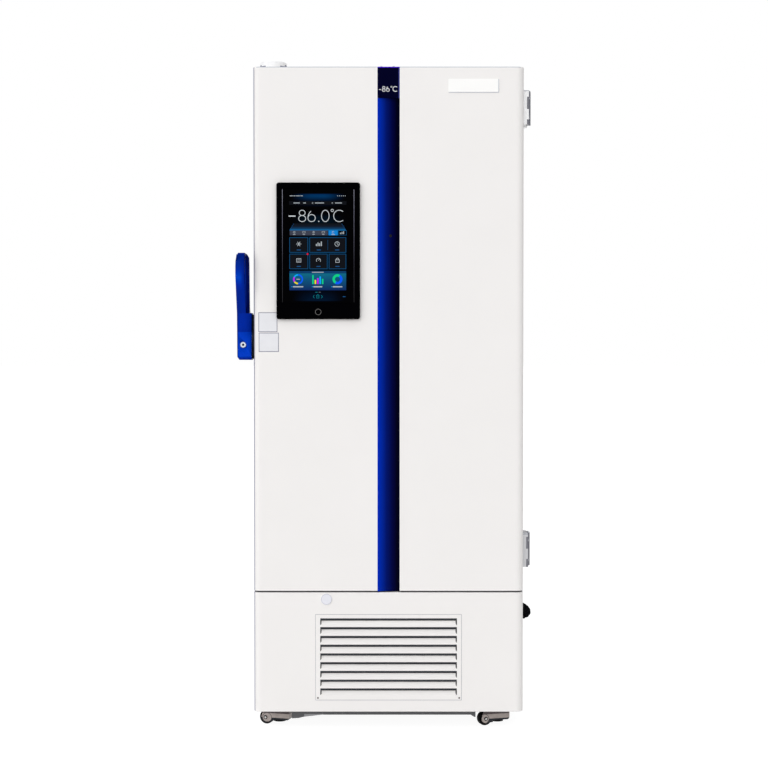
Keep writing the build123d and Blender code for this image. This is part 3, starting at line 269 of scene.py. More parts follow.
def screen_glass():
    """Dark glass over a screen that glows blue at its top, under the reading and at its foot."""
    material, tree, shader = new_material("screen_glass")
    dark, clear = (0, 0, 3), (255, 255, 255)
    bands = gradient(tree, "Z", display_low.z, display_high.z, [
        (0, dark), (0.018, dark), (0.022, (0, 26, 46)), (0.06, (0, 22, 40)), (0.12, (0, 8, 16)),
        (0.18, (1, 12, 18)), (0.2, (2, 26, 38)), (0.75, (2, 22, 32)), (0.78, dark), (0.84, dark),
        (0.9, (0, 26, 48)), (0.935, (0, 54, 96)), (0.953, (0, 44, 82)), (0.957, dark), (1, dark),
    ])
    sides = gradient(tree, "X", display_low.x, display_high.x, [
        (0, dark), (0.11, dark), (0.44, clear), (0.56, clear), (0.89, dark), (1, dark),
    ], "EASE")
    patches = noise(tree, 40)
    lit = mixed(tree, 1, bands, sides, "MULTIPLY")
    feed(tree, shader, {
        "Emission Color": mixed(tree, 1, lit, spread(tree, patches, 0.9, 1.1), "MULTIPLY"),
        "Emission Strength": 1,
        "Base Color": linear(4, 4, 8),
        "Roughness": spread(tree, patches, 0.05, 0.1),
        "Specular IOR Level": 0.03,
    })


def mesh_cloth(name, colour):
    """A woven filter mat seen from close by."""
    material, tree, shader = new_material(name)
    inputs = {"Vector": add_node(tree, "TexCoord", {}).outputs["Object"], "Scale": 160}
    waves = [add_node(tree, "TexWave", inputs, bands_direction=axis).outputs["Fac"] for axis in "XZ"]
    weave = mixed(tree, 0.5, *waves, "MULTIPLY")
    colour = linear(*colour)
    feed(tree, shader, {
        "Base Color": ramp(tree, weave, [(0.1, shade(colour, 0.5)), (0.6, shade(colour, 1.4))]),
        "Normal": bump(tree, weave, 0.6, 0.0006),
        "Roughness": 0.9,
    })


def hinge_paint(name, node):
    """Pale leaves with painted shade: darker on the lower hinge and in a strip at the outer edge; the door's also
    have knuckles in painted shade between lit ones, and a greyer line at each top.
    """
    material = surface(name, (255, 255, 255), 0.42, vary=0.01, blotch=60, grain=800)
    tree = material.node_tree
    low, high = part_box(node)
    knuckle_x, strip_x = door_right + 0.0108, door_right + 0.0162
    shade_grey = (118, 118, 126)
    # painted shade: the lower hinge is darker
    recolour(material, zone(tree, "Z", 0, 1), (212, 212, 214))
    column = zone(tree, "X", knuckle_x, strip_x)
    knuckles = (
        (low.z, ((-0.01, 0.24), (0.55, 0.91))),
        (high.z - hinge_tall, ((-0.01, 0.13), (0.44, 0.81))),
    )
    # painted shade on alternate knuckles
    for start, bands in knuckles if node == "hinge_door_leaves" else ():
        for share_low, share_high in bands:
            band = zone(tree, "Z", start + share_low * hinge_tall, start + share_high * hinge_tall)
            recolour(material, product(tree, column, band), shade_grey)
        top = zone(tree, "Z", start + 0.975 * hinge_tall, start + 1.01 * hinge_tall)
        recolour(material, top, (176, 178, 186))
    # painted shade on the strip along the outer edge
    recolour(material, zone(tree, "X", strip_x, strip_x + 0.1), shade_grey)


def panel_paint_with_edge_shade():
    """White powder coat, with painted shade along the door's left, lower and upper edges."""
    material = surface("white_steel", white, 0.45, vary=0.012, grain=700)
    tree = material.node_tree
    # painted shade: the left corner, the seam under the door and the top edge
    for depth_y, axis, low, high, colour in (
        (shell_high.y, "X", door_left + 0.0002, door_left + 0.0036, (150, 150, 168)),
        (shell_high.y, "Z", shell_low.z - 0.003, shell_low.z + 0.0019, (84, 82, 86)),
        (face_y + 0.003, "Z", door_top - 0.0022, door_top + 0.001, (186, 194, 202)),
    ):
        recolour(material, product(tree, zone(tree, axis, low, high), zone(tree, "Y", -2, depth_y)), colour)


def lock_face():
    """A bright ring round a key way in painted shade, with painted shade on the gap round the plug, told by the
    distance from the plug's middle.
    """
    material = surface("lock_face", (226, 232, 240), 0.3, vary=0.05, blotch=80, specular=0.3)
    tree = material.node_tree
    low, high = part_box("lock_plug")
    far = distance(tree, (low.x + high.x) / 2, (low.z + high.z) / 2)
    # painted shade standing for the key way's hollow
    recolour(material, masked(tree, far, -1, 0.0036), (14, 26, 52))
    # painted shade of the gap round the plug
    recolour(material, masked(tree, far, 0.0076, 1), (70, 96, 160))
    return material


def louvre_paint():
    """The panel's paint, with painted light along the tongues and painted shade on their tops and ends and on the
    sheet's edge above each slot.
    """
    material = surface("louvre_paint", white, 0.45, vary=0.012, grain=700)
    tree = material.node_tree
    pitch, tall, half_wide = 0.0256, 0.016, 0.199
    tongue_foot, tongue_top = 0.002, 0.0122
    front, back = grille_low.y, grille_low.y + 0.0115
    first = (grille_low.z + grille_high.z) / 2 - 4 * pitch - tall / 2
    phase = math_node(tree, "MODULO", math_node(tree, "SUBTRACT", place_axis(tree, "Z"), first), pitch)
    off = aside(tree, (grille_low.x + grille_high.x) / 2)
    # painted shade on the tongues' tops, on the sheet's edge above each slot and on the slots' ends
    top = product(tree, masked(tree, phase, tongue_top, tall + 0.0002), zone(tree, "Y", front + 0.003, back))
    over = product(tree, masked(tree, phase, tall - 0.0002, tall + 0.0038),
        zone(tree, "Y", front - 0.001, front + 0.0016), masked(tree, off, -1, half_wide))
    ends = product(tree, masked(tree, off, half_wide - 0.0034, half_wide),
        zone(tree, "Y", front + 0.0018, back))
    # painted light: a faint glow that grows toward each tongue's top
    inputs = {"Value": phase, "From Min": tongue_foot, "From Max": tongue_top, "To Max": 0.2}
    lift = add_node(tree, "MapRange", inputs).outputs["Result"]
    lit = product(tree, lift, zone(tree, "Y", front + 0.0012, back),
        masked(tree, phase, tongue_foot, tongue_top), math_node(tree, "SUBTRACT", 1, ends))
    shader = tree.nodes["Principled BSDF"]
    feed(tree, shader, {"Emission Strength": lit, "Emission Color": (1, 0.99, 0.98, 1)})
    recolour(material, math_node(tree, "MAXIMUM", top, ends), (38, 40, 46))
    recolour(material, over, (50, 52, 58))
    return material


def fork_paint(name, axle=None):
    """Zinc-coated steel with painted shade under the swivel's head; round the ears' discs a darker ring, and a
    near-black band low down.
    """
    material = surface(name, (186, 174, 168), 0.45, 0.2, vary=0.16, blotch=60, grain=700, relief=0.1)
    tree = material.node_tree
    # painted shade under the swivel's head
    shaded = zone(tree, "Z", 0.0338, 0.3)
    if axle:
        disc, disc_rim = 0.0127, 0.0141
        far = distance(tree, axle[0], axle[2])
        beyond = masked(tree, far, 0.0140, 1)
        recolour(material, product(tree, zone(tree, "Z", 0, 0.0208), beyond), (18, 24, 34))
        recolour(material, masked(tree, far, disc, disc_rim), (82, 78, 78))
        shaded = product(tree, shaded, masked(tree, far, disc, 1))
    recolour(material, shaded, (86, 76, 76))
    return material


def cap_plastic():
    """White caps: the front panel's plug is a shade cooler, and the roof cap's foot has painted shade at its left
    and right sides.
    """
    material = surface("cap_plastic", (252, 252, 252), 0.4, vary=0.01, grain=500, relief=0.03)
    tree = material.node_tree
    recolour(material, masked(tree, distance(tree, plug_x, plug_z), -1, 0.0147), (231, 231, 238))
    cap_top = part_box("blanking_caps")[1].z
    off = aside(tree, roof_cap_x)
    # painted shade at the roof cap's foot, on both sides
    for reach, head in ((0.0215, 0.0126), (0.0345, 0.0088)):
        foot = zone(tree, "Z", cap_top - 0.03, cap_top - head)
        recolour(material, product(tree, foot, masked(tree, off, reach, 0.1)), (132, 132, 150))
    return material


def lever_gloss():
    """Blue, with a painted highlight on the grip's left side, painted shade on its inner side, the hub's front
    painted brighter, and painted shade along the hub's foot and outer side.
    """
    material = surface("lever_gloss", (0, 45, 157), 0.3, vary=0.08, blotch=18, grain=800, specular=0.02)
    tree = material.node_tree
    foot_z, hub_z = lever_low.z - 0.001, lever_low.z + 0.1355
    # painted highlight along the grip, lightest a little above its middle
    light = gradient(tree, "Z", lever_high.z - 0.158, lever_high.z - 0.003, [
        (0, (0, 40, 136)), (0.33, (0, 41, 144)), (0.44, (0, 47, 168)), (0.57, (0, 68, 192)),
        (0.72, (0, 46, 158)), (0.83, (0, 44, 138)), (1, (0, 38, 128)),
    ])
    inward = along(tree, "X", door_left - 0.0365, door_left - 0.0265)
    grip = zone(tree, "Z", hub_z, lever_high.z + 0.01)
    shaded_inner_side = zone(tree, "X", door_left - 0.0232, door_left)
    shaded_outer_side = zone(tree, "X", lever_low.x - 0.001, door_left - 0.0450)
    recolour(material, grip, mixed(tree, inward, light, linear(0, 40, 140)))
    recolour(material, product(tree, grip, shaded_inner_side), (0, 23, 92))
    # painted light on the hub's front, low down
    recolour(material, zone(tree, "Z", foot_z, lever_low.z + 0.081), (0, 61, 189))
    # painted shade along the foot
    recolour(material, zone(tree, "Z", foot_z, lever_low.z + 0.007), (0, 44, 156))
    # painted shade on the hub's outer side
    recolour(material, product(tree, zone(tree, "Z", foot_z, hub_z), shaded_outer_side), (0, 36, 128))
    return material


# The slots' materials
panel_paint_with_edge_shade()
surface("white_plastic", (241, 239, 236), 0.4, vary=0.015, grain=500)
surface("foam", (226, 208, 150), 0.9, vary=0.15, blotch=60, grain=400, relief=0.5, depth=0.001)
surface("stainless", (196, 198, 200), 0.3, 1, vary=0.08, blotch=20, grain=500, stretch=(0.05, 1, 1),
        relief=0.08)
surface("copper_plate", (184, 115, 80), 0.4, 1, vary=0.2, blotch=14, grain=300)
surface("grey_plastic", (190, 192, 194), 0.5, vary=0.04, grain=600, relief=0.12)
surface("chrome", (214, 216, 220), 0.12, 1, vary=0.05, blotch=80, relief=0.02)
hinge_paint("hinge_grey", "hinge_cabinet_leaves")
hinge_paint("hinge_white", "hinge_door_leaves")
surface("grey_steel", (118, 112, 108), 0.4, 0.7, vary=0.25, blotch=70, grain=700, relief=0.1)
surface("dark_steel", (92, 92, 92), 0.5, vary=0.08, blotch=30, grain=700, relief=0.1)
fork_paint("fork_steel")
surface("black_steel", (34, 34, 38), 0.35, 0.2, vary=0.2, blotch=30, grain=700, relief=0.1)
surface("aluminium", (196, 198, 200), 0.35, 1, vary=0.1, blotch=30, grain=600)
surface("black_plastic", (16, 16, 19), 0.45, vary=0.15, blotch=50, relief=0.15, specular=0.2)
surface("rubber", (36, 36, 38), 0.75, vary=0.2, blotch=60, grain=500, relief=0.3, depth=0.0004)
surface("gasket_rubber", (176, 178, 181), 0.7, vary=0.08, blotch=20, grain=400, relief=0.2)
# Painted light and shade across the stripe: bright blue where lit along its left side, near black in shade along
# its right
painted_light_stripe("blue_gloss", [
    (0, (0, 46, 192)), (0.15, (0, 46, 164)), (0.4, (0, 27, 106)), (0.65, (0, 13, 66)),
    (0.8, (0, 2, 46)), (0.88, (0, 0, 30)), (1, (0, 0, 34)),
])
header_gloss()
surface("black_gloss", (4, 4, 9), 0.2, vary=0.2, blotch=12, relief=0.02, specular=0.015)
screen_glass()
surface("blue_plastic", (0, 42, 158), 0.3, vary=0.15, blotch=18, grain=800, specular=0.06)
mesh_cloth("filter_mesh", (60, 62, 66))
surface("black_wheel", (12, 12, 13), 0.6, vary=0.25, blotch=90, grain=500, relief=0.25, specular=0.08)
surface("pad_rubber", (18, 18, 20), 0.7, vary=0.2, blotch=80, grain=500, relief=0.3, specular=0.2)

# Nodes with a material of their own
by_node = {
    "lock_plug": lock_face(),
    "filter_grille": louvre_paint(),
    "blanking_caps": cap_plastic(),
    "handle_lever": lever_gloss(),
    "handle_base": surface("base_black", (16, 18, 24), 0.5, vary=0.15, blotch=30, grain=700,
    specular=0.05),
}
for joint in frame["joints"]:
    if joint["child"].startswith("front_wheel"):
        fork = joint["child"].replace("front_wheel", "caster_fork")
        by_node[fork] = fork_paint(f"{fork}_paint", joint["pos_m"])

for node, thing in nodes.items():
    material = by_node.get(node) or finish[slots[node]]
    if not thing.material_slots:
        thing.data.materials.append(material)
    for place in thing.material_slots:
        place.link = "OBJECT"
        place.material = material


# Pieces

def piece(name, mesh, body, material, smooth=False):
    """An object from a bmesh in the row frame, riding on a body."""
    data = bpy.data.meshes.new(name)
    bmesh.ops.recalc_face_normals(mesh, faces=mesh.faces)
    mesh.to_mesh(data)
    mesh.free()
    thing = bpy.data.objects.new(name, data)
    bpy.context.scene.collection.objects.link(thing)
    data.materials.append(material)
    if smooth:
        for face in data.polygons:
            face.use_smooth = True
        data.set_sharp_from_angle(angle=math.radians(40))
    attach(thing, body)
    return thing


def wall(mesh, low, high):
    """Faces between two closed rings that have as many vertices."""
    for n in range(len(low)):
        m = (n + 1) % len(low)
        mesh.faces.new((low[n], low[m], high[m], high[n]))


def prism(mesh, outline, front, back):
    """A closed plate in the XZ plane from an outline of (x, z) points."""
    near, far = ([mesh.verts.new((x, y, z)) for x, z in outline] for y in (front, back))
    mesh.faces.new(near)
    mesh.faces.new(reversed(far))
    wall(mesh, far, near)


def loop_strip(mesh, outer, inner, front, back, closed=True):
    """A closed band between two outlines with as many points: a ring or an arc."""
    count = len(outer)
    corners = [[mesh.verts.new((x, y, z)) for x, z in line] for y in (front, back) for line in (outer, inner)]
    out_front, in_front, out_back, in_back = corners
    for n in range(count if closed else count - 1):
        m = (n + 1) % count
        for a, b in ((out_front, in_front), (in_front, in_back), (in_back, out_back), (out_back, out_front)):
            mesh.faces.new((a[n], b[n], b[m], a[m]))
    if not closed:
        for n in (0, count - 1):
            mesh.faces.new((out_front[n], in_front[n], in_back[n], out_back[n]))


def rounded(x, z, width, height, radius, steps=4):
    """Outline of a rounded rectangle about (x, z); without steps its corners are sharp."""
    points = []
    for quarter, (side_x, side_z) in enumerate(((1, 1), (-1, 1), (-1, -1), (1, -1))):
        centre = (x + side_x * (width / 2 - radius), z + side_z * (height / 2 - radius))
        for n in range(steps + 1):
            angle = math.radians(90 * (quarter + n / max(steps, 1)))
            points.append((centre[0] + radius * math.cos(angle), centre[1] + radius * math.sin(angle)))
    return points


def ring_points(x, z, radius_x, radius_z, start=0, end=360, steps=32):
    """Points of an ellipse between two angles in degrees; a full turn has no double point."""
    full = abs(end - start) >= 360
    count = steps if full else steps + 1
    angles = [math.radians(start + (end - start) * n / steps) for n in range(count)]
    return [(x + radius_x * math.cos(a), z + radius_z * math.sin(a)) for a in angles]


def arc(mesh, x, z, radius_x, radius_z, stroke, front, back, start=0, end=360, steps=32):
    outer = ring_points(x, z, radius_x, radius_z, start, end, steps)
    inner = ring_points(x, z, radius_x - stroke, radius_z - stroke, start, end, steps)
    loop_strip(mesh, outer, inner, front, back, abs(end - start) >= 360)


def bar(mesh, x, z, width, height, front, back, radius=0):
    prism(mesh, rounded(x, z, width, height, radius, 4 if radius else 0), front, back)


def frame_band(mesh, x, z, width, height, stroke, front, back, radius=0.001):
    outer = rounded(x, z, width, height, radius)
    inner = rounded(x, z, width - 2 * stroke, height - 2 * stroke, max(radius - stroke, 0.0001))
    loop_strip(mesh, outer, inner, front, back)


def circle(mesh, place, radius, height, steps):
    """Vertices round the local Z axis of place; a radius of 0 gives a single one."""
    angles = [2 * math.pi * n / steps for n in range(steps if radius else 1)]
    points = [Vector((radius * math.cos(a), radius * math.sin(a), height)) for a in angles]
    return [mesh.verts.new(place @ point) for point in points]


def turned_profile(mesh, place, profile, steps):
    """A solid of revolution about the local Z axis of place, from (radius, height) points.

    The profile starts and ends on the axis, or else closes into a ring.
    """
    rings = [circle(mesh, place, radius, height, steps) for radius, height in profile]
    pairs = list(zip(rings, rings[1:]))
    if profile[0][0] and profile[-1][0]:
        pairs.append((rings[-1], rings[0]))
    for low, high in pairs:
        if len(low) == len(high):
            wall(mesh, low, high)
            continue
        ring, tip = (low, high[0]) if len(high) == 1 else (high, low[0])
        for n in range(steps):
            mesh.faces.new((ring[n], ring[(n + 1) % steps], tip))


def pointing(centre, direction):
    """A frame at centre whose local Z axis is the direction."""
    turn = Vector(direction).to_track_quat("Z", "Y").to_matrix().to_4x4()
    return Matrix.Translation(centre) @ turn


def screw_heads(name, places, direction, radius, height, body, material):
    """Domed screw heads with a shallow round dip in the middle, on a surface that faces the direction."""
    mesh = bmesh.new()
    dome = [(0, 0), (1, 0), (1, 0.45), (0.86, 0.8), (0.5, 1), (0.3, 1), (0.12, 0.5), (0, 0.4)]
    for centre in places:
        place = pointing(Vector(centre), direction)
        turned_profile(mesh, place, [(radius * a, height * b) for a, b in dome], 20)
    return piece(name, mesh, body, material, smooth=True)


def turned_piece(name, centre, direction, profile, steps, body, material):
    """A smooth solid of revolution about the direction through the centre."""
    mesh = bmesh.new()
    turned_profile(mesh, pointing(Vector(centre), direction), profile, steps)
    return piece(name, mesh, body, material, smooth=True)


# Door: bare plate, bare labels, header digits and small fasteners
plate_mesh = bmesh.new()
plate_x, plate_z = middle_x + 0.2461, door_top - 0.055
prism(plate_mesh, rounded(plate_x, plate_z, 0.1465, 0.0395, 0.0025, 6), face_y - 1.6 * MM, face_y - 0.15 * MM)
bmesh.ops.bevel(plate_mesh, geom=plate_mesh.edges[:], offset=0.0004, segments=2, affect="EDGES")
plate_paint = surface("plate_paint", (255, 254, 251), 0.3, vary=0.01, grain=600, relief=0.03)
plate_tree = plate_paint.node_tree
# painted shade along the plate's right and lower edges
shaded_plate_sides = math_node(plate_tree, "MAXIMUM", zone(plate_tree, "X", plate_x + 0.0712, plate_x + 0.1),
    zone(plate_tree, "Z", plate_z - 0.1, plate_z - 0.0181))
recolour(plate_paint, shaded_plate_sides, (196, 198, 206))
piece("bare_plate", plate_mesh, "door", plate_paint)

label_paper = surface("label_paper", (233, 233, 236), 0.5, vary=0.04, blotch=30, grain=500)
label_edge = surface("label_edge", (128, 128, 148), 0.5, vary=0.08, blotch=30, grain=500)
corner = 0.020  # radius of the door's rounded side


def skin_y(x):
    """The door's front surface at x, with its rounded left corner."""
    inside = corner - (x - door_left)
    return face_y if inside <= 0 else face_y + corner - math.sqrt(max(corner ** 2 - inside ** 2, 0))


def sticker(name, x_low, x_high, z_low, z_high, lift, material):
    """A thin sheet that follows the door's skin."""
    mesh = bmesh.new()
    count = 14
    columns = [x_low + (x_high - x_low) * n / count for n in range(count + 1)]
    grid = [[[mesh.verts.new((x, skin_y(x) - y, z)) for z in (z_low, z_high)] for x in columns]
            for y in (lift, 0.05 * MM)]
    for n in range(count):
        for side in grid:
            mesh.faces.new((side[n][0], side[n + 1][0], side[n + 1][1], side[n][1]))
        for end in (0, 1):
            mesh.faces.new((grid[0][n][end], grid[0][n + 1][end], grid[1][n + 1][end], grid[1][n][end]))
    for n in (0, count):
        mesh.faces.new((grid[0][n][0], grid[0][n][1], grid[1][n][1], grid[1][n][0]))
    return piece(name, mesh, "door", material)


for name, (x_low, x_high), (z_low, z_high) in (
    ("upper", (0.0149, 0.0698), (-0.7670, -0.7100)),
    ("lower", (0.0157, 0.0739), (-0.8245, -0.7690)),
):
    spans = (door_left + x_low, door_left + x_high, door_top + z_low, door_top + z_high)
    sticker(f"bare_label_{name}_edge", *spans, 0.25 * MM, label_edge)
    rim = 1.9 * MM
    inner_spans = (spans[0] + rim, spans[1] - rim, spans[2] + rim, spans[3] - rim)
    sticker(f"bare_label_{name}", *inner_spans, 0.45 * MM, label_paper)

header_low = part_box("stripe_header")[0]
light_print = surface("light_print", (246, 247, 250), 0.4, vary=0.04, grain=500)
header_mesh = bmesh.new()
digits_z = door_top - 0.0642
print_front, print_back = header_low.y - 0.4 * MM, header_low.y - 0.02 * MM


def digit_arc(x, z, radius_x, radius_z, stroke, start=0, end=360, steps=24):
    arc(header_mesh, middle_x + x * MM, digits_z + z * MM, radius_x * MM, radius_z * MM, stroke * MM,
        print_front, print_back, start, end, steps)


bar(header_mesh, middle_x - 24.9 * MM, digits_z - 1.5 * MM, 6.2 * MM, 1.6 * MM, print_front, print_back)
digit_arc(-14, -3.4, 5, 4.5, 1.55)
digit_arc(-14, 3.9, 4.3, 4, 1.55)
digit_arc(-2, -3, 5, 4.9, 1.55)
digit_arc(1.4, -3, 8.4, 11.1, 1.55, 118, 180, 12)
digit_arc(8, 6.2, 2.2, 2.2, 0.9)
digit_arc(19.6, 0, 7.9, 7.9, 1.65, 47, 313, 28)
piece("header_digits", header_mesh, "door", light_print)

stripe_x = (stripe_low.x + stripe_high.x) / 2
screw_heads("stripe_top_screws", [(stripe_x + x, header_low.y + 0.009, door_top) for x in (-0.0208, 0.0143)],
    (0, 0, 1), 0.0036, 0.0032, "door", finish["grey_plastic"])
lens = [(0, -0.001), (0.0045, -0.001), (0.0045, 0.0012), (0.0036, 0.0018), (0, 0.0014)]
turned_piece("stripe_lens", (stripe_x + 0.0055, face_y + 0.0117, door_top - 0.4875), (0, -1, 0), lens, 24,
    "door", finish["black_plastic"])


# Screen: readings, tiles and gauges of a plain design of its own
bezel_low, bezel_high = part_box("display_bezel")
active_width, active_height = 0.174, 0.3137
active_left = (bezel_low.x + bezel_high.x) / 2 - 0.0013 - active_width / 2
active_top = (bezel_low.z + bezel_high.z) / 2 + 0.0075 + active_height / 2
row_step = 0.989 * MM  # the design's rows stand a little closer than a millimetre

pale = (176, 184, 190)
gauge_colours = {
    "blue": (6, 92, 250),
    "green": (18, 206, 130),
    "yellow": (246, 222, 0),
    "violet": (196, 0, 250),
    "cyan": (0, 170, 255),
}


def at(left, down):
    """A place on the screen, by its column and row from the lit area's upper left corner."""
    return active_left + left * MM, active_top - down * row_step


class Layer:
    """Shapes of one colour, or one fade, on the screen, gathered into one piece."""

    def __init__(self, name, colour, lift=0, fade=()):
        self.name, self.mesh = name, bmesh.new()
        self.material = glowing(f"{name}_glow", colour, fade)
        self.front, self.back = (display_low.y - (reach + lift) * MM for reach in (0.25, 0.02))

    def bar(self, left, down, width, height, radius=0):
        bar(self.mesh, *at(left, down), width * MM, height * MM, self.front, self.back, radius * MM)

    def frame(self, left, down, width, height, stroke, radius=1):
        frame_band(self.mesh, *at(left, down), width * MM, height * MM, stroke * MM, self.front, self.back,
            radius * MM)

    def arc(self, left, down, radius, stroke, start=0, end=360, tall=None, steps=32):
        arc(self.mesh, *at(left, down), radius * MM, (tall or radius) * MM, stroke * MM,
            self.front, self.back, start, end, steps)

    def line(self, start, end, stroke):
        a, b = Vector(at(*start)), Vector(at(*end))
        side = (b - a).normalized().orthogonal() * (stroke * MM) / 2
        prism(self.mesh, [a + side, a - side, b - side, b + side], self.front, self.back)

    def shape(self, points):
        prism(self.mesh, [at(*point) for point in points], self.front, self.back)

    def done(self):
        return piece(self.name, self.mesh, "door", self.material)


# Reading: minus, eight, six, point, nought, degree and C, drawn in thin strokes
reading = Layer("screen_reading", (206, 212, 216), 0.3)
base = 81.7
stroke = 1.9
reading.bar(12.8, base - 17, 20, 3.2)
reading.arc(42, base - 9.8, 11.2, stroke, tall=9.8)
reading.arc(42, base - 26.4, 9.6, stroke, tall=8.7)
reading.arc(69.3, base - 11.2, 11.6, stroke, tall=11.2)
reading.arc(76.6, base - 11.2, 18.9, stroke, 120, 180, tall=23.9, steps=16)
reading.bar(89.9, base - 1.6, 3, 3)
reading.arc(108.9, base - 17.5, 11.9, stroke, tall=17.5)
reading.arc(129, base - 33.6, 4.3, 1.6, steps=20)
reading.arc(149.2, base - 17.5, 17.2, stroke, 48, 312, tall=17.5)
reading.done()

# Status row and information strip above the reading
fine_print = Layer("screen_status", pale, 0.3)
for n, width in enumerate((9, 6, 11, 7)):
    fine_print.bar(6 + sum((9, 6, 11, 7)[:n]) + n * 1.6 + width / 2, 5.6, width, 1.8)
for n in range(5):
    fine_print.bar(144 + 5.6 * n, 5.6, 2.2, 2 + 0.4 * (n % 2))
for left, width in ((26, 18), (49, 8), (92, 26), (147, 20)):
    fine_print.bar(left, 26.4, width, 2.2, 0.8)
fine_print.arc(72, 26.4, 1.9, 0.7, steps=16)
fine_print.arc(129, 26.4, 1.9, 0.7, steps=16)

tile_backs = Layer("screen_strips", (15, 18, 24))
tile_backs.bar(87, 26.4, 166, 10.4, 1.2)

# Row of modes under the reading
modes_z = 113.6
modes = Layer("screen_modes", (62, 66, 80), 0.1)
modes.bar(61, modes_z, 110, 14)
mode_on = Layer("screen_mode_on", (16, 128, 212), 0.1)
mode_on.bar(131.5, modes_z, 27, 14)
borders = Layer("screen_lines", (14, 82, 128), 0.15)
borders.frame(158.5, modes_z, 24, 14, 1, 0.6)
for n in range(4):
    left = 19 + 28 * n
    if n % 2:
        fine_print.frame(left, modes_z - 1.8, 8.5, 5.6, 0.8, 0.8)
    else:
        fine_print.arc(left, modes_z - 1.8, 3.2, 0.8, steps=20)
        fine_print.bar(left, modes_z - 1.8, 1, 3.4)
    fine_print.bar(left, modes_z + 4.6, 7, 1.4)
fine_print.arc(131.5, modes_z - 1.6, 3.4, 0.9, 30, 330, steps=20)
fine_print.bar(131.5, modes_z + 4.8, 10, 1.6)
for n in range(3):
    fine_print.bar(152.5 + n * 4.6, modes_z + 1.6 - n, 2.4, 4 + 2 * n)

# Glow that spreads from the reading to the modes
fan = Layer("screen_fan", None, 0.05, fade=(at(0, 106)[1], at(0, 86)[1], [
    (0, (0, 104, 162)), (0.22, (0, 58, 94)), (0.55, (0, 23, 40)), (1, (0, 2, 8)),
]))
fan.shape([(18, 86), (156, 86), (169, 106.4), (5, 106.4)])
fan.done()

# Tiles with simple signs: two rows, of one and a double, and of three
tiles = ((32, 149, 54, 44), (116, 149, 106, 44), (32, 197, 54, 44), (89, 197, 52, 44), (144, 197, 50, 44))
for left, down, width, height in tiles:
    tile_backs.bar(left, down, width, height, 1)
    borders.frame(left, down, width, height, 1.4)
borders.bar(116, 149, 0.8, 30)
dashes = Layer("screen_dashes", (30, 84, 136), 0.3)
dashes.line((18, 86.5), (5.4, 106), 0.8)
dashes.line((156, 86.5), (168.6, 106), 0.8)
for left, down in ((32, 149), (90, 149), (143, 149), (32, 197), (89, 197), (144, 197)):
    dashes.bar(left, down + 14.5, 12, 2.4, 0.8)
dashes.bar(163, 300, 8, 2, 0.8)
signs = Layer("screen_signs", pale, 0.3)
for n in range(3):  # snow crystal
    turn = math.radians(60 * n)
    reach = (7.4 * math.cos(turn), 7.4 * math.sin(turn))
    signs.line((32 - reach[0], 146 - reach[1]), (32 + reach[0], 146 + reach[1]), 1.5)
for n in range(4):  # columns
    height = (6, 10, 8, 13)[n]
    signs.bar(83 + n * 4.8, 152 - height / 2, 2.8, height)
signs.arc(143, 146, 7.2, 1.4, steps=28)  # clock
signs.line((143, 146), (143, 141), 1.3)
signs.line((143, 146), (147, 148), 1.3)
signs.frame(32, 194, 14, 12, 1.4, 1.2)  # list
for n in range(2):
    signs.bar(32, 192 + n * 4, 8, 1.2)
signs.arc(89, 194, 6.8, 1.4, -40, 220, steps=24)  # dial
signs.line((89, 194), (93, 189.5), 1.4)
signs.frame(144, 196, 12, 9, 1.5, 1)  # padlock
signs.arc(144, 191.5, 4.6, 1.4, 0, 180, steps=14)
signs.done()
alert = Layer("screen_alert_dot", (232, 24, 64), 0.35)
alert.arc(57.5, 175.5, 2.7, 2.65, steps=16)
alert.done()

# Panel of gauges
gauge_back = Layer("screen_gauge_back", None, fade=(at(0, 281)[1], at(0, 226)[1], [
    (0, (0, 40, 94)), (0.55, (0, 80, 118)), (1, (0, 110, 132)),
]))
gauge_back.bar(87, 254, 164, 54, 0.6)
gauge_back.done()
gauge_head = Layer("screen_gauge_head", (0, 62, 104), 0.05)
gauge_head.bar(87, 228.5, 164, 7, 0.6)
gauge_head.done()
fine_print.bar(87, 228.6, 34, 2, 0.8)
gauges = {}
for name, colour in gauge_colours.items():
    gauges[name] = Layer(f"gauge_{name}_arcs", colour, 0.3)
for colour, start, end in (("blue", -90, 90), ("cyan", 90, 150), ("violet", 150, 215), ("yellow", 215, 270)):
    gauges[colour].arc(30, 249, 14.6, 4.2, start + 2, end - 2, steps=20)
columns = (("green", 26), ("yellow", 12), ("violet", 17), ("cyan", 22), ("green", 15))
for n, (colour, height) in enumerate(columns):
    gauges[colour].bar(73 + 7 * n, 263 - height / 2, 4.4, height)
gauges["green"].arc(144, 249, 14.6, 7.2, 60, 240, steps=24)
gauges["blue"].arc(144, 249, 14.6, 7.2, 240, 420, steps=24)
for left, width in ((30, 30), (87, 26), (144, 28)):
    fine_print.bar(left, 271, width, 3.2, 1.2)
    gauges["cyan"].bar(left - width / 2 - 3, 271, 2.2, 2.2)
fine_print.bar(30, 249, 10, 2.2, 0.8)
for layer in gauges.values():
    layer.done()

arrows = Layer("screen_nav", (8, 116, 130), 0.2)
arrows.bar(83, 287, 7, 1.6, 0.6)
for side in (-1, 1):
    for rise in (-1, 1):
        arrows.line((87 + side * 10, 300 + rise * 4.5), (87 + side * 13.5, 300), 1.3)
arrows.frame(87, 301, 8, 7, 1.2, 0.8)
arrows.line((82.4, 297.2), (87.2, 293.2), 1.2)
arrows.line((86.8, 293.2), (91.6, 297.2), 1.2)
arrows.done()
page_dot = Layer("screen_page_dot", (96, 104, 112), 0.2)
page_dot.bar(92.5, 287, 6, 1.6, 0.6)
page_dot.done()
for layer in (fine_print, tile_backs, modes, mode_on, borders, dashes):
    layer.done()

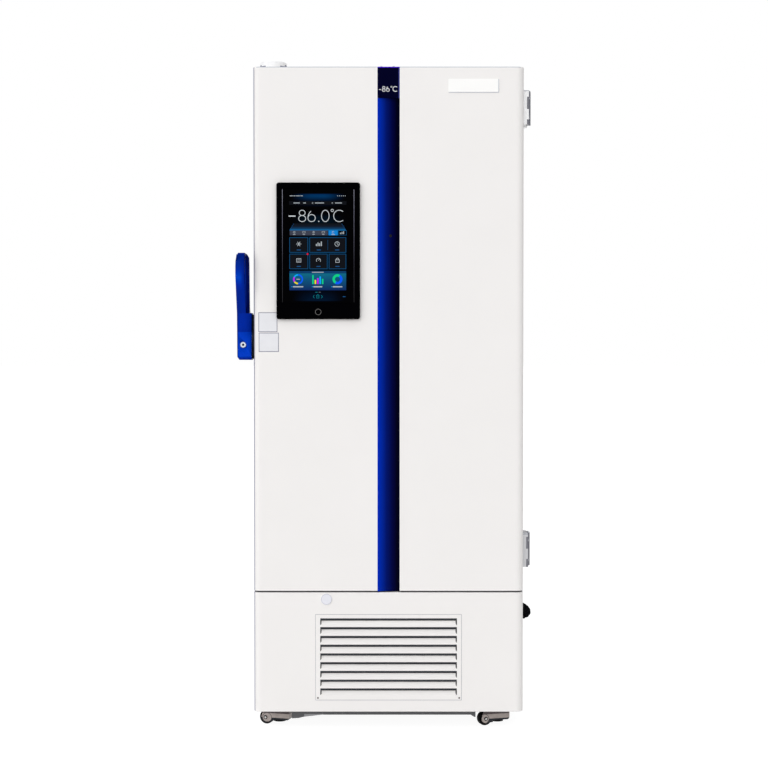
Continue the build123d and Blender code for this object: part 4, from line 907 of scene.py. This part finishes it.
# Painted highlights along the glass's side edges, and the home button's ring
edge_material, edge_tree, edge_shader = new_material("glass_edge_highlight")
# painted highlight, brighter toward the top
edge_highlight_tones = gradient(edge_tree, "Z", display_low.z, display_high.z, [
    (0, (10, 10, 16)), (0.35, (44, 44, 56)), (0.8, (112, 112, 130)), (1, (150, 150, 165)),
])
feed(edge_tree, edge_shader, {"Base Color": edge_highlight_tones, "Roughness": 0.3, "Metallic": 0.2})
edge_mesh = bmesh.new()
edge_tall = (display_high.z - display_low.z) * 0.985
for side in (display_low.x, display_high.x):
    bar(edge_mesh, side, (display_low.z + display_high.z) / 2, 1.3 * MM, edge_tall,
        bezel_low.y - 0.5 * MM, bezel_low.y - 0.02 * MM)
piece("glass_edge_highlights", edge_mesh, "door", edge_material)

button_low, button_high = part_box("home_button")
button_centre = (button_low + button_high) / 2
button_rim = [(0.0090, -0.0012), (0.0090, 0.0002), (0.0086, 0.0006), (0.0080, 0.0006), (0.0076, 0.0001),
    (0.0076, -0.0002)]
ring_metal = surface("ring_metal", (122, 120, 118), 0.4, 0.4, vary=0.12, blotch=90, relief=0.02)
turned_piece("button_ring", (button_centre.x, button_low.y, button_centre.z), (0, -1, 0), button_rim, 48,
    "button", ring_metal)

# Screws: hinges, rear service panel and the grille's lower corners
for body in ("cabinet", "door"):
    low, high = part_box(f"hinge_{body}_leaves")
    screw_y = high.y - 0.019 if body == "cabinet" else low.y + 0.019
    places = [
        (door_right + 0.017, screw_y, start + hinge_tall * share)
        for start in (low.z, high.z - hinge_tall)
        for share in (0.2, 0.8)
    ]
    screw_heads(f"hinge_screws_{body}", places, (1, 0, 0), 0.0052, 0.0024, body, finish["chrome"])
inset = 0.018
panel_columns = (panel_low.x + inset, (panel_low.x + panel_high.x) / 2, panel_high.x - inset)
places = [(x, panel_high.y, z) for x in panel_columns for z in (panel_low.z + inset, panel_high.z - inset)]
screw_heads("service_panel_screws", places, (0, 1, 0), 0.0045, 0.0022, "cabinet", finish["chrome"])
places = [(x, grille_low.y, grille_low.z + 0.0055) for x in (grille_low.x + 0.006, grille_high.x - 0.006)]
screw_heads("grille_screws", places, (0, -1, 0), 0.0026, 0.0008, "grille", finish["grey_steel"])

# A ring round the blanking plug, in a greyish tone that is painted shade round its outline
plug_shade_rim = [(0.0146, 0.0001), (0.0146, 0.0034), (0.0154, 0.0034), (0.0157, 0.0030), (0.0157, 0.0001)]
turned_piece("plug_shade_ring", (plug_x, face_y, plug_z), (0, -1, 0), plug_shade_rim, 48, "cabinet",
    surface("plug_shade_tone", (196, 196, 208), 0.5, vary=0.08, blotch=30, grain=500))

# A greyish band round the grille: painted shade of the narrow gap
seam_mesh = bmesh.new()
seam_x, seam_z = (grille_low.x + grille_high.x) / 2, (grille_low.z + grille_high.z) / 2
frame_band(seam_mesh, seam_x, seam_z, grille_high.x - grille_low.x + 0.0024,
    grille_high.z - grille_low.z + 0.0032, 0.0012, face_y - 0.3 * MM, face_y - 0.02 * MM)
seam_shade_grey = surface("seam_shade_grey", (178, 178, 184), 0.6, vary=0.1, blotch=20, grain=500)
piece("grille_seam_shade", seam_mesh, "cabinet", seam_shade_grey)

# Lever with rounded arrises and a straighter grip, in place of the plain one
lever_mesh = bmesh.new()
lever_mesh.from_mesh(nodes["handle_lever"].data)
lever_mesh.transform(nodes["handle_lever"].matrix_world)
bmesh.ops.remove_doubles(lever_mesh, verts=lever_mesh.verts[:], dist=0.00001)
bmesh.ops.dissolve_limit(lever_mesh, angle_limit=math.radians(2), verts=lever_mesh.verts[:],
    edges=lever_mesh.edges[:])
pivot_z, grip_reach = lever_low.z + 0.098, 0.0490
for vert in lever_mesh.verts:
    rise, reach = vert.co.z - pivot_z, door_left - vert.co.x
    if reach > 0.040 and rise > 0.034:
        vert.co.x = door_left - grip_reach + 0.35 * max(grip_reach - reach, 0)
    if rise > 0.0345:
        vert.co.z += 0.0036 - 0.0008 * (rise - 0.035) / 0.174


def in_corner(vert, rise):
    """Whether the vertex is in the grip's outer corner and higher than that above the pivot."""
    return vert.co.z > pivot_z + rise and door_left - vert.co.x > 0.040


top_verts = [vert for vert in lever_mesh.verts if in_corner(vert, 0.200)]
bmesh.ops.remove_doubles(lever_mesh, verts=top_verts, dist=0.0012)
top_edges = [edge for edge in lever_mesh.edges if all(in_corner(vert, 0.208) for vert in edge.verts)]
bmesh.ops.bevel(lever_mesh, geom=top_edges, offset=0.0060, segments=4, affect="EDGES", clamp_overlap=True)
arrises = []
for edge in lever_mesh.edges:
    middle = (edge.verts[0].co + edge.verts[1].co) / 2
    by_lock = math.hypot(middle.x - (door_left - 0.0305), middle.z - (pivot_z - 0.054)) < 0.0115
    by_pivot = math.hypot(middle.y - (face_y + 0.050), middle.z - pivot_z) < 0.0120
    turned = len(edge.link_faces) == 2 and edge.calc_face_angle(0) > math.radians(30)
    if turned and not by_lock and not by_pivot and edge.calc_length() > 0.004:
        arrises.append(edge)
bmesh.ops.bevel(lever_mesh, geom=arrises, offset=0.0016, segments=2, affect="EDGES", clamp_overlap=True)
for v in lever_mesh.verts:
    v.co.y = max(v.co.y, lever_low.y)
lever = piece("rounded_lever", lever_mesh, "lever", by_node["handle_lever"], smooth=True)
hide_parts("handle_lever")

# Ribbed hose in place of the plain conduit
hose_low, hose_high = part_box("conduit")
hose_radius, hose_core = 0.0128, 0.0090
hose_in = Vector((door_right + 0.0002, hose_low.y + hose_radius, hose_high.z - hose_radius * 0.2))
hose_out = Vector((door_right + 0.0002, hose_high.y - hose_radius, hose_low.z + hose_radius * 0.8))
hose_run = hose_out - hose_in
hose_bulge = hose_high.x - hose_in.x - hose_radius - 0.0001
hose_mesh = bmesh.new()
hose_steps, hose_ribs, hose_sides = 120, 9, 24
rings = []


def hose_centre(share):
    """A point of the bend, which leans toward its lower end."""
    bulge = Vector((hose_bulge * math.sin(math.pi * share ** 1.35), 0, 0))
    return hose_in + hose_run * (1 - math.cos(math.pi * share)) / 2 + bulge


for n in range(hose_steps + 1):
    centre = hose_centre(n / hose_steps)
    heading = hose_centre(min(n + 1, hose_steps) / hose_steps) - hose_centre(max(n - 1, 0) / hose_steps)
    wave = 0.5 - 0.5 * math.cos(2 * math.pi * hose_ribs * n / hose_steps)
    radius = hose_core + (hose_radius - hose_core) * wave ** 0.9
    rings.append(circle(hose_mesh, pointing(centre, heading), radius, 0, hose_sides))
for low, high in zip(rings, rings[1:]):
    turn = min(range(hose_sides), key=lambda shift: (high[shift].co - low[0].co).length)
    high[:] = high[turn:] + high[:turn]
    wall(hose_mesh, low, high)
hose_mesh.faces.new(rings[0])
hose_mesh.faces.new(reversed(rings[-1]))
hose_black = surface("hose_black", (9, 9, 16), 0.7, vary=0.2, blotch=90, specular=0.05)
hose = piece("ribbed_hose", hose_mesh, "cabinet", hose_black, smooth=True)
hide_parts("conduit")

# Apron whose right end stops short of the tyre with a slanted gusset, in place of the even one
apron_low, apron_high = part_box("front_apron")
apron_mesh = bmesh.new()
apron_edge = apron_low.z + 0.0104
end_x = apron_high.x - 0.028
prism(apron_mesh, [
    (apron_low.x, apron_high.z), (apron_low.x, apron_low.z - 0.0006),
    (apron_low.x + 0.020, apron_low.z + 0.0008), (apron_low.x + 0.034, apron_low.z + 0.0042),
    (apron_low.x + 0.088, apron_edge), (end_x - 0.014, apron_edge),
    (end_x - 0.003, apron_edge - 0.007), (end_x, apron_edge - 0.007), (end_x, apron_edge + 0.022),
    (apron_high.x, apron_edge + 0.036), (apron_high.x, apron_high.z),
], apron_low.y, apron_low.y + 0.003)
bar(apron_mesh, (apron_low.x + apron_high.x) / 2, apron_high.z - 0.0015, apron_high.x - apron_low.x, 0.003,
    apron_low.y + 0.003, apron_high.y)
apron_paint = surface("apron_paint", (88, 88, 90), 0.5, vary=0.08, blotch=30, grain=700, relief=0.1)
apron_tree = apron_paint.node_tree
paler = product(apron_tree, zone(apron_tree, "X", apron_low.x + 0.036, apron_low.x + 0.092),
    zone(apron_tree, "Z", -1, apron_edge + 0.002))
recolour(apron_paint, paler, (150, 150, 152))
apron = piece("notched_apron", apron_mesh, "cabinet", apron_paint)
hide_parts("front_apron")

# Wheels with rounded tyres and hubs in place of the plain discs
hub_grey = surface("hub_grey", (92, 92, 96), 0.5, vary=0.15, blotch=90, grain=600, relief=0.1)
rear_low, rear_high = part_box("rear_wheel_left")
half = (rear_high.x - rear_low.x) / 2
round_edge = 0.004
axles = {joint["child"]: Vector(joint["axis"]) for joint in frame["joints"] if "roll" in joint["name"]}
for body, direction in axles.items():
    low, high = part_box(body)
    centre, radius = (low + high) / 2, (high.z - low.z) / 2
    hub_radius = radius * 0.58
    outer = [
        (radius - round_edge * (1 - math.sin(a)), side * (half - round_edge * (1 - math.cos(a))))
        for side, angles in ((-1, (0, 30, 60, 90)), (1, (90, 60, 30, 0)))
        for a in [math.radians(d) for d in angles]
    ]
    profile = [(hub_radius, 0.001 - half)] + outer + [(hub_radius, half - 0.001)]
    thing = turned_piece(f"{body}_tyre", centre, direction, profile, 56, body,
        finish["black_wheel"])
    hub_profile = [(0.0042, -half), (0.0075, -half), (0.0085, 0.003 - half), (hub_radius, 0.002 - half),
        (hub_radius, half - 0.002), (0.0085, half - 0.003), (0.0075, half), (0.0042, half)]
    hub_piece = turned_piece(f"{body}_hub", centre, direction, hub_profile, 40, body, hub_grey)
    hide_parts(body)
    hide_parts(body)

# Bright axle bolts at the casters' ears
bright_zinc = surface("bright_zinc", (206, 206, 204), 0.25, 1, vary=0.1, blotch=100)
bolt_profile = [(0, 0), (0.0037, 0), (0.0037, 0.0022), (0.003, 0.0028), (0.0018, 0.0028),
    (0.0014, 0.0016), (0, 0.0016)]
washer_profile = [(0.0037, -0.0005), (0.0060, -0.0005), (0.0060, 0.0008), (0.0037, 0.0008)]
for body, direction in axles.items():
    low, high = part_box(body)
    carrier = "cabinet" if "rear" in body else body.replace("front_wheel", "swivel")
    bolt, washer = bmesh.new(), bmesh.new()
    for side in (-1, 1):
        place = pointing((low + high) / 2 + direction * side * (half + 0.005), direction * side)
        turned_profile(bolt, place, bolt_profile, 6 if side < 0 else 20)
        turned_profile(washer, place, washer_profile, 24)
    piece(f"{body}_bolt", bolt, carrier, bright_zinc)
    piece(f"{body}_washer", washer, carrier, finish["black_steel"])


# Stage: a plain floor that keeps the shadow and looks white to the camera and in reflections
stage_material = bpy.data.materials.new("stage_white")
stage_material.use_nodes = True
stage_tree = stage_material.node_tree
stage_tree.nodes.clear()
paths = add_node(stage_tree, "LightPath", {})
seen = paths.outputs["Is Camera Ray"]
for ray in ("Is Glossy Ray", "Is Transmission Ray"):
    seen = math_node(stage_tree, "MAXIMUM", seen, paths.outputs[ray])
plain = add_node(stage_tree, "BsdfDiffuse", {"Color": (0.8, 0.8, 0.8, 1)})
shadowed = add_node(stage_tree, "BsdfDiffuse", {"Color": (0.2, 0.2, 0.2, 1)})
glow = add_node(stage_tree, "Emission", {"Color": (1, 1, 1, 1), "Strength": 0.93})
added = add_node(stage_tree, "AddShader", {0: shadowed.outputs[0], 1: glow.outputs[0]})
choice = add_node(stage_tree, "MixShader", {0: seen, 1: plain.outputs[0], 2: added.outputs[0]})
add_node(stage_tree, "OutputMaterial", {"Surface": choice.outputs[0]})

floor_mesh = bmesh.new()
bmesh.ops.create_circle(floor_mesh, cap_ends=True, radius=80, segments=64)
floor_data = bpy.data.meshes.new("floor")
floor_mesh.to_mesh(floor_data)
floor_mesh.free()
floor = bpy.data.objects.new("floor", floor_data)
bpy.context.scene.collection.objects.link(floor)
floor_data.materials.append(stage_material)

# World: white to the camera; its light falls off away from the front left, and is even in reflections
world = bpy.data.worlds.new("studio")
bpy.context.scene.world = world
world.use_nodes = True
room_tree = world.node_tree
room_tree.nodes.clear()
paths = add_node(room_tree, "LightPath", {})
where = add_node(room_tree, "TexCoord", {})
inputs = {0: where.outputs["Generated"], 1: Vector((-0.5, -0.83, 0.25)).normalized()}
toward = add_node(room_tree, "VectorMath", inputs, operation="DOT_PRODUCT")
bright_side = math_node(room_tree, "MAXIMUM", toward.outputs["Value"], 0)
matte_only = math_node(room_tree, "SUBTRACT", 1, paths.outputs["Is Glossy Ray"])
side_share = product(room_tree, bright_side, matte_only)
side_light, even_light = 1.19, 0.42
strength = math_node(room_tree, "MULTIPLY_ADD", side_share, side_light, even_light)
room = add_node(room_tree, "Background", {"Color": (0.98, 0.985, 1, 1), "Strength": strength})
backdrop = add_node(room_tree, "Background", {"Color": (1, 1, 1, 1), "Strength": 1})
seen = math_node(room_tree, "MAXIMUM", paths.outputs["Is Camera Ray"], paths.outputs["Is Transmission Ray"])
sky = add_node(room_tree, "MixShader", {0: seen, 1: room.outputs[0], 2: backdrop.outputs[0]})
add_node(room_tree, "OutputWorld", {"Surface": sky.outputs[0]})

target = Vector((middle_x, 0, 1))


def softbox(name, place, width, height, power):
    light = bpy.data.lights.new(name, "AREA")
    light.shape = "RECTANGLE"
    light.size, light.size_y = width, height
    light.energy = power
    thing = bpy.data.objects.new(name, light)
    thing.location = place
    thing.rotation_euler = (target - Vector(place)).to_track_quat("-Z", "Y").to_euler()
    bpy.context.scene.collection.objects.link(thing)


softbox("left_softbox", (-4.2, -3.6, 2.6), 3, 3.4, 10)
softbox("front_softbox", (-0.8, -6.5, 4.2), 4.5, 3, 24)
softbox("rear_softbox", (1.5, 5.5, 3.5), 4, 3, 50)

camera_data = bpy.data.cameras.new("camera")
camera = bpy.data.objects.new("camera", camera_data)
bpy.context.scene.collection.objects.link(camera)
camera_data.sensor_fit = "HORIZONTAL"
camera_data.angle = math.radians(25.136)
camera.location = (middle_x - 0.0133, face_y - 5, 1.128)
camera.rotation_euler = (math.radians(90 - 1.35), 0, 0)
bpy.context.scene.camera = camera
bpy.context.scene.view_settings.view_transform = "Standard"
